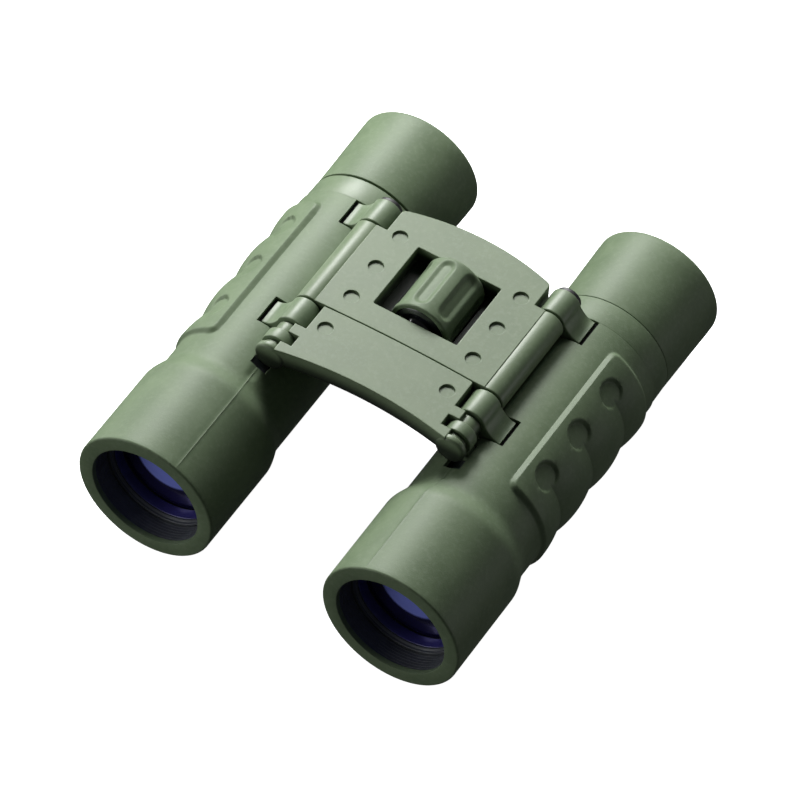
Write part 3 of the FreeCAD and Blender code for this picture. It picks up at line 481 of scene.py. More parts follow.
def rounded(corners: Sequence[Corner], steps: int = 4) -> np.ndarray:
    """Round the corners of a closed outline.

    Args:
        corners: (u, v) for a sharp corner or (u, v, radius) for a round one.
        steps: pieces in each round corner.

    Returns:
        The outline's points.
    """
    points: list[np.ndarray] = []
    for i, corner in enumerate(corners):
        here = np.array(corner[:2], float)
        radius = corner[2] if len(corner) > 2 else 0.0
        if radius <= 0:
            points.append(here)
            continue
        before = np.array(corners[i - 1][:2], float) - here
        after = np.array(corners[(i + 1) % len(corners)][:2], float) - here
        room = 0.47 * min(np.linalg.norm(before), np.linalg.norm(after))
        before /= np.linalg.norm(before)
        after /= np.linalg.norm(after)
        half = math.acos(float(np.clip(before @ after, -1, 1))) / 2
        cut = min(radius / math.tan(half), room)
        size = cut * math.tan(half)
        middle = before + after
        centre = here + middle / np.linalg.norm(middle) * size / math.sin(half)
        start, end = (here + d * cut - centre for d in (before, after))
        first = math.atan2(start[1], start[0])
        sweep = (math.atan2(end[1], end[0]) - first + math.pi) % (2 * math.pi) - math.pi
        for step in range(steps + 1):
            turn = first + sweep * step / steps
            points.append(centre + size * np.array([math.cos(turn), math.sin(turn)]))
    return np.array(points)


def arc(centre: Spot, radius: float, first: float, last: float, steps: int) -> list[Spot]:
    """Points on an arc, angles in degrees, both ends included."""
    turns = np.radians(np.linspace(first, last, steps + 1))
    return [(centre[0] + radius * math.cos(t), centre[1] + radius * math.sin(t)) for t in turns]


def bowed(start: Spot, end: Spot, rise: float, steps: int = 24) -> list[Spot]:
    """Points of a shallow bow from start up to end, which is left out, bulging towards +v by rise."""
    shares = np.arange(steps) / steps
    lift = 4 * shares * (1 - shares) * rise
    return [(start[0] + (end[0] - start[0]) * s, start[1] + (end[1] - start[1]) * s + r)
            for s, r in zip(shares, lift, strict=True)]


def wound(loop: np.ndarray, anticlockwise: bool) -> np.ndarray:
    """The loop turned the asked way round."""
    u, v = loop[:, 0], loop[:, 1]
    area = float(np.sum(u * np.roll(v, -1) - np.roll(u, -1) * v))
    return loop if (area > 0) == anticlockwise else loop[::-1]


def inset(loop: np.ndarray, distance: float) -> np.ndarray:
    """The loop moved to its left by a distance, with mitred corners."""
    edge = np.roll(loop, -1, axis=0) - loop
    edge /= np.maximum(np.linalg.norm(edge, axis=1, keepdims=True), 1e-9)
    left = np.stack([-edge[:, 1], edge[:, 0]], axis=1)
    before = np.roll(left, 1, axis=0)
    spread = np.maximum(1 + np.sum(left * before, axis=1, keepdims=True), 0.35)
    return loop + (left + before) / spread * distance


def stations(breaks: Iterable[float], step: float, fine: Sequence[tuple[float, float, float]]) -> np.ndarray:
    """Places along a line that pass exactly through some of them.

    Args:
        breaks: places that have to be met, with both ends among them.
        step: the widest gap.
        fine: (low, high, step) stretches that are divided more finely.

    Returns:
        The places in order.
    """
    low_end, high_end = min(breaks), max(breaks)
    marks = {round(b, 4) for b in breaks}
    for low, high, _ in fine:
        marks |= {round(x, 4) for x in (low, high) if low_end < x < high_end}
    ordered = sorted(marks)
    places: list[float] = []
    for start, end in zip(ordered, ordered[1:], strict=False):
        middle = (start + end) / 2
        gap = min([step, *(s for low, high, s in fine if low <= middle <= high)])
        count = max(1, math.ceil((end - start) / gap - 1e-6))
        places += [start + (end - start) * k / count for k in range(count)]
    return np.array([*places, ordered[-1]])


# ---------------------------------------------------------------- solids


@dataclass(frozen=True)
class Site:
    """Where the frame puts the barrels, hinges and wheel, in millimetres of the row frame."""

    rim_y: float
    axis_x: float
    axis_z: float
    hinge_x: float
    hinge_z: float
    wheel_z: float

    @classmethod
    def from_frame(cls) -> "Site":
        """Read the site from the CAD nodes' boxes and the joints' axes."""
        low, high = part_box("left_objective_cell")
        joints = {joint["name"]: joint for joint in frame["joints"]}
        hinge = joints["left_fold"]["pos_m"]
        axis_z = (low.z + high.z) / 2
        return cls(
            rim_y=CAD_BOX[0].y / MM,
            axis_x=(low.x + high.x) / 2 / MM,
            axis_z=axis_z / MM,
            hinge_x=hinge[0] / MM,
            hinge_z=(hinge[2] - axis_z) / MM,
            wheel_z=(joints["focus_turn"]["pos_m"][2] - axis_z) / MM,
        )

    def barrel(self, side: Side) -> Spot:
        """A barrel's axis as (x, z)."""
        return side.value * self.axis_x, 0.0

    def hinge(self, side: Side) -> Spot:
        """A hinge's axis as (x, z)."""
        return side.value * self.hinge_x, self.hinge_z

    def span(self, node: str) -> tuple[float, float]:
        """The front and back stations of a CAD node."""
        low, high = (corner.y / MM - self.rim_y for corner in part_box(node))
        return low, high

    def place(self, points: np.ndarray) -> np.ndarray:
        """Take points from the maker's frame in millimetres to the row frame in metres."""
        return (points + np.array([0.0, self.rim_y, self.axis_z])) * MM


def linked(name: str, data: bpy.types.ID) -> bpy.types.Object:
    """A new object in the scene that carries this mesh, camera or lamp."""
    made = bpy.data.objects.new(name, data)
    bpy.context.scene.collection.objects.link(made)
    return made


@dataclass(frozen=True)
class Pit:
    """A blind recess in the top of a slab."""

    outline: np.ndarray
    depth: float
    edge: float


class Solid:
    """Closed shapes in the maker's frame, gathered into one piece."""

    def __init__(self) -> None:
        """Start with nothing."""
        self.points: list[np.ndarray] = []
        self.faces: list[Sequence[int]] = []
        self.paints: list[int] = []
        self.smooth: list[bool] = []
        self.count = 0

    def add(self, points: np.ndarray, faces: Iterable[Sequence[int]], paint: int = 0, flats: int = 0) -> None:
        """Add points and the faces between them.

        Args:
            points: the new points.
            faces: the faces, by the numbers of these points.
            paint: the number of their finish.
            flats: how many of the last faces are flat.
        """
        shifted = [[i + self.count for i in face] for face in faces]
        self.points.append(points)
        self.faces += shifted
        self.paints += [paint] * len(shifted)
        self.smooth += [True] * (len(shifted) - flats) + [False] * flats
        self.count += len(points)

    def lathe(self, profile: np.ndarray, centre: Spot, steps: int = 96) -> None:
        """Turn a closed (radius, y) profile about a line along Y through (x, z)."""
        turns = np.linspace(0, 2 * math.pi, steps, endpoint=False)
        radius, along = profile[:, 0], profile[:, 1]
        x = centre[0] + radius[:, None] * np.cos(turns)
        z = centre[1] + radius[:, None] * np.sin(turns)
        y = np.repeat(along[:, None], steps, axis=1)
        self.add(np.stack([x, y, z], axis=2).reshape(-1, 3), ring_faces(len(profile), steps, True))

    def slab(self, outline: np.ndarray, low: float, high: float, edge: float = 0.3,
             holes: Sequence[np.ndarray] = (), pits: Sequence[Pit] = (), axis: Axis = Axis.UP) -> None:
        """Thicken an outline between two levels, with its edges rounded.

        Args:
            outline: the outer loop.
            low: the lower level.
            high: the upper level.
            edge: the radius of the rounded edges.
            holes: loops that go right through.
            pits: recesses in the upper face.
            axis: the direction between the levels.
        """
        turns = np.radians(np.linspace(0, 90, EDGE_STEPS + 1))
        foot = [(edge * (1 - math.sin(t)), low + edge * (1 - math.cos(t))) for t in turns]
        wall = foot + [(d, low + high - level) for d, level in reversed(foot)]
        loops = [(wound(outline, True), wall)] + [(wound(hole, False), wall) for hole in holes]
        for pit in pits:
            lip = [(pit.edge * (1 - math.sin(t)), high - pit.edge * (1 - math.cos(t))) for t in turns]
            floor = [(-pit.edge * (1 - math.cos(t)), high - pit.depth + pit.edge * (1 - math.sin(t)))
                     for t in turns]
            loops.append((wound(pit.outline, False), (lip + floor)[::-1]))
        points: list[np.ndarray] = []
        faces: list[Sequence[int]] = []
        flats: list[Sequence[int]] = []
        caps: dict[str, list[tuple[int, np.ndarray]]] = {"low": [], "high": []}
        count = 0
        for number, (loop, levels) in enumerate(loops):
            size = len(loop)
            rings = [np.column_stack([inset(loop, d), np.full(size, level)]) for d, level in levels]
            points += rings
            faces += [[i + count for i in face] for face in ring_faces(len(levels), size, False)]
            if number > len(holes):
                flats += cap([(count, rings[0])])
            else:
                caps["low"].append((count, rings[0]))
            caps["high"].append((count + size * (len(levels) - 1), rings[-1]))
            count += size * len(levels)
        for rings_of_cap in caps.values():
            flats += cap(rings_of_cap)
        shape = np.concatenate(points)
        placed = np.empty_like(shape)
        for source, target in enumerate(axis.value):
            placed[:, target] = shape[:, source]
        self.add(placed, [*faces, *flats], flats=len(flats))

    def finished(self, name: str, finishes: Sequence[Finish], site: Site) -> bpy.types.Object:
        """Make the piece's object, with clean outward faces and smooth shading up to a sharp angle."""
        mesh = bpy.data.meshes.new(name)
        mesh.from_pydata(site.place(np.concatenate(self.points)).tolist(), [], self.faces)
        mesh.polygons.foreach_set("material_index", self.paints)
        mesh.polygons.foreach_set("use_smooth", self.smooth)
        for finish in finishes:
            mesh.materials.append(finish.material())
        clean(mesh)
        return linked(name, mesh)


def clean(mesh: bpy.types.Mesh) -> None:
    """Merge doubles, drop loose edges, face outwards and mark edges past the sharp angle."""
    work = bmesh.new()
    work.from_mesh(mesh)
    bmesh.ops.remove_doubles(work, verts=work.verts, dist=1e-7)
    bmesh.ops.dissolve_degenerate(work, edges=work.edges, dist=1e-7)
    loose = [e for e in work.edges if not e.link_faces]
    bmesh.ops.delete(work, geom=loose, context="EDGES")
    bmesh.ops.recalc_face_normals(work, faces=work.faces)
    smooth = [face.smooth for face in work.faces]
    work.to_mesh(mesh)
    work.free()
    mesh.set_sharp_from_angle(angle=SHARP_ANGLE)
    mesh.polygons.foreach_set("use_smooth", smooth)


def ring_faces(rows: int, size: int, closed: bool) -> list[list[int]]:
    """Quads between neighbouring rings of points, each ring closed on itself."""
    faces = []
    for row in range(rows if closed else rows - 1):
        here, there = row * size, (row + 1) % rows * size
        for i in range(size):
            after = (i + 1) % size
            faces.append([here + i, here + after, there + after, there + i])
    return faces


def cap(rings: Sequence[tuple[int, np.ndarray]]) -> list[list[int]]:
    """Fill the flat area between an outer ring and the rings inside it."""
    loops = [[Vector(p) for p in ring] for _, ring in rings]
    index = [start + i for start, ring in rings for i in range(len(ring))]
    return [[index[i] for i in triangle] for triangle in tessellate_polygon(loops)]


# ---------------------------------------------------------------- barrels


@dataclass(frozen=True)
class Window:
    """An opening in a tube's wall, between two angles and two stations."""

    from_angle: float
    to_angle: float
    front: float
    back: float


@dataclass
class SidePart:
    """What the pieces of one side share: where they sit, what they are called and the hinge's sizes."""

    site: Site
    side: Side
    tube_radius: float = 3.6
    pin_hole: float = 1.55

    @property
    def centre(self) -> Spot:
        """The barrel's axis as (x, z)."""
        return self.site.barrel(self.side)

    def name(self, part: str) -> str:
        """This side's name for a part."""
        return f"{self.side.prefix}_{part}"

    def pin_bore(self) -> np.ndarray:
        """The hole that the hinge pin runs in."""
        return np.array(arc(self.site.hinge(self.side), self.pin_hole, 0, 345, 23))

    def about_hinge(self, points: Iterable[Spot]) -> np.ndarray:
        """Outline points given from the hinge's axis, x outwards."""
        x, z = self.site.hinge_x, self.site.hinge_z
        return np.array([(self.side.value * (x + u), z + v) for u, v in points])

    def finished(self, solid: Solid, part: str, *finishes: Finish) -> bpy.types.Object:
        """Make a solid's object under this side's name."""
        return solid.finished(self.name(part), finishes, self.site)

    def dress(self, piece: bpy.types.Object, body: str, finish: Finish, *parts: str) -> None:
        """Hang a piece on one of this side's bodies in place of this side's CAD parts."""
        dress(piece, self.name(body), finish, *(self.name(part) for part in parts))


@dataclass
class Barrel(SidePart):
    """One barrel's armour, shell, hood and eyepiece end.

    Angles are in degrees about the barrel's axis, from straight outwards over the top.
    """

    bell_radius: float = 17.0
    bell_length: float = 24.0
    flare: float = 6.5
    waist_radius: float = 15.5
    armour_end: float = 85.4
    taper_start: float = 60.0
    taper_drop: float = 0.15
    rim_round: float = 0.55
    lip_radius: float = 13.4
    lip_depth: float = 1.3
    wall_radius: float = 14.6
    bore_radius: float = 13.5
    pad_front: float = 36.4
    pad_back: float = 81.6
    pad_angle: float = 68.0
    pad_rise: float = 0.92
    pad_ramp: float = 1.15
    pad_corner: float = 2.4
    scallop_radius: float = 24.0
    scallop_full: float = 36.0
    scallop_none: float = 55.0
    scallop_floor: float = 9.0
    scallop_reach: float = 0.6
    dimple_first: float = 45.2
    dimple_pitch: float = 13.65
    dimple_angle: float = 46.0
    dimple_radius: float = 3.55
    dimple_slope: float = 0.7
    dimple_stretch: float = 0.96
    dimple_depth: float = 0.86
    relief_radius: float = 4.0
    seam_height: float = 0.07
    seam_half: float = 0.16
    lug_width: float = 7.0
    lug_ends: tuple[float, float] = (51.7, 85.2)
    lug_gap: float = 0.45
    lug_outer: float = 0.15
    slot: tuple[float, float] = (34.3, 41.9)
    slot_half: float = 2.2
    neck_bore: float = 12.65
    neck_radius: float = 13.6
    neck_front: float = 82.0
    neck_back: float = 91.0
    web_top: Spot = (7.4, -2.25)
    web_foot: tuple[Spot, Spot] = ((7.4, -4.4), (0.3, -6.6))
    ring_bore: float = 13.45
    ring_front: float = 85.5
    cup_bore: float = 12.62
    cup_funnel: float = 6.3

    @property
    def hinge_angle(self) -> float:
        """Where the hinge lies round the barrel."""
        return math.degrees(math.atan2(self.site.hinge_z, self.site.hinge_x - self.site.axis_x))

    @property
    def hinge_reach(self) -> float:
        """Distance from the barrel's axis to the hinge's."""
        return math.hypot(self.site.hinge_z, self.site.axis_x - self.site.hinge_x)

    @property
    def crowns(self) -> list[float]:
        """Stations of the tops of the scallops."""
        return [self.dimple_first + (k - 0.5) * self.dimple_pitch for k in range(4)]

    @property
    def valleys(self) -> list[float]:
        """Stations of the scallops' valleys, which are the dimples' too."""
        return [self.dimple_first + k * self.dimple_pitch for k in range(3)]

    def windows(self) -> list[Window]:
        """The lugs' windows and the focus arm's slot."""
        outer = math.degrees(math.acos(self.lug_outer / self.waist_radius))
        found = []
        for end in self.lug_ends:
            back = min(end + self.lug_gap, self.armour_end)
            found.append(Window(outer, outer + 46.0, end - self.lug_width - self.lug_gap, back))
        half = math.degrees(math.asin(self.slot_half / self.waist_radius))
        found.append(Window(self.hinge_angle - half, self.hinge_angle + half, *self.slot))
        return found

    def armour_radius(self, angle: np.ndarray, y: np.ndarray) -> np.ndarray:
        """The armour's outer radius over a grid of angles and stations."""
        share = np.clip((y - self.bell_length) / self.flare, 0, 1)
        taper = np.clip((y - self.taper_start) / (self.armour_end - self.taper_start), 0, 1) * self.taper_drop
        drop = (self.bell_radius - self.waist_radius) * (1 - np.cos(math.pi * share)) / 2
        base = self.bell_radius - drop - taper
        turn = (angle + 180) % 360 - 180
        across = np.radians(turn) * (self.waist_radius + self.pad_rise)
        radius = base + self._pad(across, y)
        depth = np.full_like(y, self.scallop_floor)
        for crown in self.crowns:
            off = np.minimum(np.abs(y - crown), self.scallop_radius * self.scallop_reach)
            depth = np.minimum(depth, self.scallop_radius - np.sqrt(self.scallop_radius ** 2 - off ** 2))
        inside = (y > self.pad_front + 0.3) & (y < self.pad_back - 0.3)
        share = np.clip((self.scallop_none - np.abs(turn)) / (self.scallop_none - self.scallop_full), 0, 1)
        radius = radius - np.where(inside, depth * share * share * (3 - 2 * share), 0)
        pad_top = self.waist_radius + self.pad_rise
        for valley in self.valleys:
            for angle_of in (self.dimple_angle, -self.dimple_angle):
                off = across - math.radians(angle_of) * pad_top
                reach = np.hypot(off, (y - valley) * self.dimple_stretch)
                ramp = self._ramp((self.dimple_radius - reach) / self.dimple_slope)
                radius = np.minimum(radius, pad_top + 2.0 * (ramp <= 0) - self.dimple_depth * ramp)
        return self._seams(self._relieved(radius, angle, y), angle, y)

    @staticmethod
    def _ramp(share: np.ndarray) -> np.ndarray:
        """A straight ramp from 0 to 1 with slightly eased ends."""
        share = np.clip(share, 0, 1)
        return 0.6 * share + 0.4 * share * share * (3 - 2 * share)

    def _pad(self, across: np.ndarray, y: np.ndarray) -> np.ndarray:
        """How far the grip pad stands up: a rounded rectangle with a ramp round it."""
        half_width = math.radians(self.pad_angle) * (self.waist_radius + self.pad_rise)
        half_length = (self.pad_back - self.pad_front) / 2
        middle = (self.pad_back + self.pad_front) / 2
        over_u = np.abs(across) - half_width + self.pad_corner
        over_v = np.abs(y - middle) - half_length + self.pad_corner
        outside = np.hypot(np.maximum(over_u, 0), np.maximum(over_v, 0))
        inside = np.minimum(np.maximum(over_u, over_v), 0)
        distance = self.pad_corner - outside - inside
        return self.pad_rise * self._ramp(distance / self.pad_ramp)

    def _relieved(self, radius: np.ndarray, angle: np.ndarray, y: np.ndarray) -> np.ndarray:
        """Keep the armour clear of a cylinder round the hinge, behind the flare."""
        off = np.radians(angle - self.hinge_angle)
        under = self.relief_radius ** 2 - (self.hinge_reach * np.sin(off)) ** 2
        near = self.hinge_reach * np.cos(off) - np.sqrt(np.maximum(under, 0))
        hit = (under > 0) & (np.cos(off) > 0) & (y > self.bell_length + self.flare)
        return np.where(hit, np.minimum(radius, near), radius)

    def _seams(self, radius: np.ndarray, angle: np.ndarray, y: np.ndarray) -> np.ndarray:
        """Raise the two fine mould lines on the bell."""
        for place in (self.hinge_angle, self.hinge_angle + 180):
            off = np.abs((angle - place + 180) % 360 - 180)
            share = np.clip(1 - np.radians(off) * self.bell_radius / self.seam_half, 0, 1)
            radius = radius + np.where(y < self.slot[0] - 0.3, share * self.seam_height, 0)
        return radius

    def _angles(self) -> np.ndarray:
        """Angles of the armour's grid, finer at the dimples, pad edges, seams and windows."""
        breaks = {0.0, 360.0}
        fine = []
        for sign in (1, -1):
            dimple, edge = sign * self.dimple_angle, sign * self.pad_angle
            for low, high, step in ((dimple - 13.6, dimple + 13.6, 0.95), (edge - 5.5, edge + 1.5, 0.8)):
                ends = sorted((low % 360, high % 360))
                fine.append((*ends, step))
        for place in (self.hinge_angle, self.hinge_angle + 180):
            fine.append((place - 0.6, place + 0.6, 0.3))
        for window in self.windows():
            breaks |= {window.from_angle, window.to_angle}
        return stations(breaks, 2.4, fine)[:-1]

    def _rows(self) -> np.ndarray:
        """Stations of the armour's grid."""
        breaks = {self.lip_depth, self.armour_end, *self.valleys}
        for window in self.windows():
            breaks |= {window.front, window.back}
        reach = self.dimple_radius + 0.15
        fine = [(v - reach, v + reach, 0.29) for v in self.valleys]
        front, back = self.pad_front, self.pad_back
        fine += [(front - 0.2, front + 1.8, 0.25), (back - 1.8, back + 0.2, 0.25)]
        fine += [(self.bell_length - 0.5, self.bell_length + self.flare + 0.5, 0.6)]
        return stations(breaks, 1.15, fine)

    def tube(self, solid: Solid, radius_at: Callable, inner: float, angles: np.ndarray, rows: np.ndarray,
             lip: Sequence[Corner], windows: Sequence[Window], paints: tuple[int, int] = (0, 0)) -> None:
        """Build a tube wall with openings cut right through it.

        Args:
            solid: where the wall goes.
            radius_at: the outer radius for arrays of angle and station.
            inner: the inner radius.
            angles: the grid's angles.
            rows: the grid's stations.
            lip: (radius, y) points from the inner wall round the front to the outer wall.
            windows: the openings, whose ends lie on the grid.
            paints: the finish of the outer wall and of the inner one.
        """
        size, count, front = len(angles), len(rows), len(lip)
        grid_angle, grid_y = np.meshgrid(angles, rows)
        outer = radius_at(grid_angle, grid_y)
        lip_radius, lip_y = (np.repeat([[corner[k]] for corner in lip], size, 1) for k in (0, 1))
        radius = np.concatenate([lip_radius, outer, np.full((count, size), inner)])
        along = np.concatenate([lip_y, grid_y, grid_y[::-1]])
        turn = np.radians(angles)[None, :]
        x = self.centre[0] + self.side.value * radius * np.cos(turn)
        points = np.stack([x, along, radius * np.sin(turn)], axis=2).reshape(-1, 3)
        middle_y = (rows[1:] + rows[:-1])[:, None] / 2
        middle_angle = ((angles + np.roll(angles, -1) + 360 * (np.roll(angles, -1) < angles)) / 2)[None, :]
        gone = np.zeros((count - 1, size), bool)
        for w in windows:
            gone |= ((middle_y > w.front) & (middle_y < w.back)
                     & (middle_angle > w.from_angle) & (middle_angle < w.to_angle))
        outer_row = front + np.arange(count)
        inner_row = front + 2 * count - 1 - np.arange(count)
        total = front + 2 * count
        faces = {0: [], 1: []}
        for row in range(total):
            following = (row + 1) % total
            station = row - front if row < front + count else front + 2 * count - 2 - row
            skip = gone[min(station, count - 2)] if 0 <= station < count and row >= front else None
            if row == total - 1:
                skip = None
            bucket = faces[0 if row < front + count - 1 else 1]
            for i in range(size):
                if skip is None or not skip[i]:
                    after = (i + 1) % size
                    here, there = row * size, following * size
                    bucket.append([here + i, here + after, there + after, there + i])
        for j, i in zip(*np.nonzero(gone), strict=True):
            after = (i + 1) % size
            sides = [(j, i, j, after, j > 0 and not gone[j - 1, i])]
            sides.append((j + 1, i, j + 1, after, j + 1 < count - 1 and not gone[j + 1, i]))
            sides.append((j, i, j + 1, i, not gone[j, i - 1]))
            sides.append((j, after, j + 1, after, not gone[j, after]))
            for j0, i0, j1, i1, wanted in sides:
                if wanted:
                    a, b = outer_row[j0] * size + i0, outer_row[j1] * size + i1
                    c, d = inner_row[j1] * size + i1, inner_row[j0] * size + i0
                    faces[0].append([int(a), int(b), int(c), int(d)])
        solid.add(points, faces[0] + faces[1], paints[0])
        solid.paints[len(solid.paints) - len(faces[1]):] = [paints[1]] * len(faces[1])

    def armour(self) -> bpy.types.Object:
        """The rubber sleeve with its bell, grip pad, dimples, mould lines and windows."""
        solid = Solid()
        front = [
            (self.lip_radius, self.lip_depth),
            (self.lip_radius, 0.25),
            (self.lip_radius + 0.08, 0.08),
            (self.lip_radius + 0.3, 0.0),
            ((self.lip_radius + self.bell_radius) / 2, 0.0),
        ]
        front += arc((self.bell_radius - self.rim_round, self.rim_round), self.rim_round, -90, 0, 6)
        angles, rows = self._angles(), self._rows()
        self.tube(solid, self.armour_radius, self.wall_radius, angles, rows, front, self.windows())
        return self.finished(solid, "armour_skin", Finish.RUBBER)

    def lug_outline(self) -> np.ndarray:
        """A lug seen along the hinge: a ring that flows down into the web on the barrel."""
        ring = arc((0, 0), self.tube_radius, 240, 12, 40)
        u, v = ring[-1]
        run, fall = self.web_top[0] - u, self.web_top[1] - v
        flow = [(u + run * s, v + fall * (1 - (1 - s) ** 2.1)) for s in np.linspace(0.12, 1, 10)]
        return self.about_hinge([*ring, *flow, *self.web_foot])

    def shell(self) -> bpy.types.Object:
        """The hard tube under the armour, its black bore, the two lugs and the eyepiece neck; the tube's outer
        wall, seen only through the armour's windows, is painted near-black shadow.
        """
        solid = Solid()
        rows = stations({self.lip_depth, self.slot[0], self.slot[1], self.armour_end - 0.05}, 6.0, [])
        slot = self.windows()[-1]
        angles = stations({0.0, 360.0, slot.from_angle, slot.to_angle}, 5.0, [])[:-1]
        outer = self.wall_radius - 0.02
        bore, lip = self.bore_radius, [(self.bore_radius, self.lip_depth)]
        # The outer wall takes the painted shadow black; the bore takes the black anodising.
        self.tube(solid, lambda a, y: np.full_like(y, outer), bore, angles, rows, lip, [slot], (2, 1))
        neck_bore, neck, front, back = self.neck_bore, self.neck_radius, self.neck_front, self.neck_back
        solid.lathe(rounded([
            (neck_bore, front), (neck, front), (neck, self.armour_end - 0.2), (neck - 0.2, self.armour_end),
            (neck - 0.2, back, 0.2), (neck_bore, back, 0.2),
        ]), self.centre)
        for end in self.lug_ends:
            solid.slab(self.lug_outline(), end - self.lug_width, end, 0.3, [self.pin_bore()], axis=Axis.ALONG)
        return self.finished(solid, "shell_skin", Finish.CASTING, Finish.ANODISED, Finish.UNDER)

    def collar(self, part: str, back: float, first: float, last: float, finish: Finish) -> bpy.types.Object:
        """A plain ring behind the armour, turned with soft edges, its radius running from first to last."""
        solid = Solid()
        front, bore = self.ring_front, self.ring_bore
        profile = rounded([(bore, front), (first, front, 0.22), (last, back, 0.22), (bore, back)])
        solid.lathe(profile, self.centre, 160)
        return self.finished(solid, part, finish)

    def eyecup(self) -> bpy.types.Object:
        """The soft rubber eyecup, slightly flared, with a rolled rim and a funnel to the lens."""
        node = self.name("eyecup")
        low, high = self.site.span(node)
        radius = (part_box(node)[1].z / MM) - self.site.axis_z
        bore, floor = self.cup_bore, high - self.cup_funnel
        solid = Solid()
        solid.lathe(rounded([
            (bore, low), (radius - 0.35, low, 0.18), (radius - 0.2, low + 9.0, 20.0),
            (radius, high - 3.4, 12.0),
            (radius, high, 0.95), (12.9, high, 0.7), (11.5, high - 2.4, 3.0), (9.0, floor, 0.3),
            (bore, floor),
        ], 6), self.centre, 160)
        return self.finished(solid, "eyecup_skin", Finish.RUBBER)

    def build(self) -> None:
        """Make every piece that belongs to this barrel and hang it on its body."""
        self.dress(self.armour(), "barrel", Finish.RUBBER, "barrel_armour")
        self.dress(self.shell(), "barrel", Finish.CASTING, "barrel_shell")
        if self.side is Side.RIGHT:
            ring = self.collar("dioptre_skin", 91.4, 15.1, 15.0, Finish.CASTING)
            dress(ring, "dioptre_ring", Finish.CASTING, "right_dioptre_ring")
            self.dress(self.eyecup(), "eyepiece", Finish.RUBBER, "eyecup")
        else:
            ring = self.collar("collar_skin", 91.92, 15.1, 14.95, Finish.RUBBER)
            self.dress(ring, "barrel", Finish.CASTING, "eyepiece_collar")
            self.dress(self.eyecup(), "barrel", Finish.RUBBER, "eyecup")


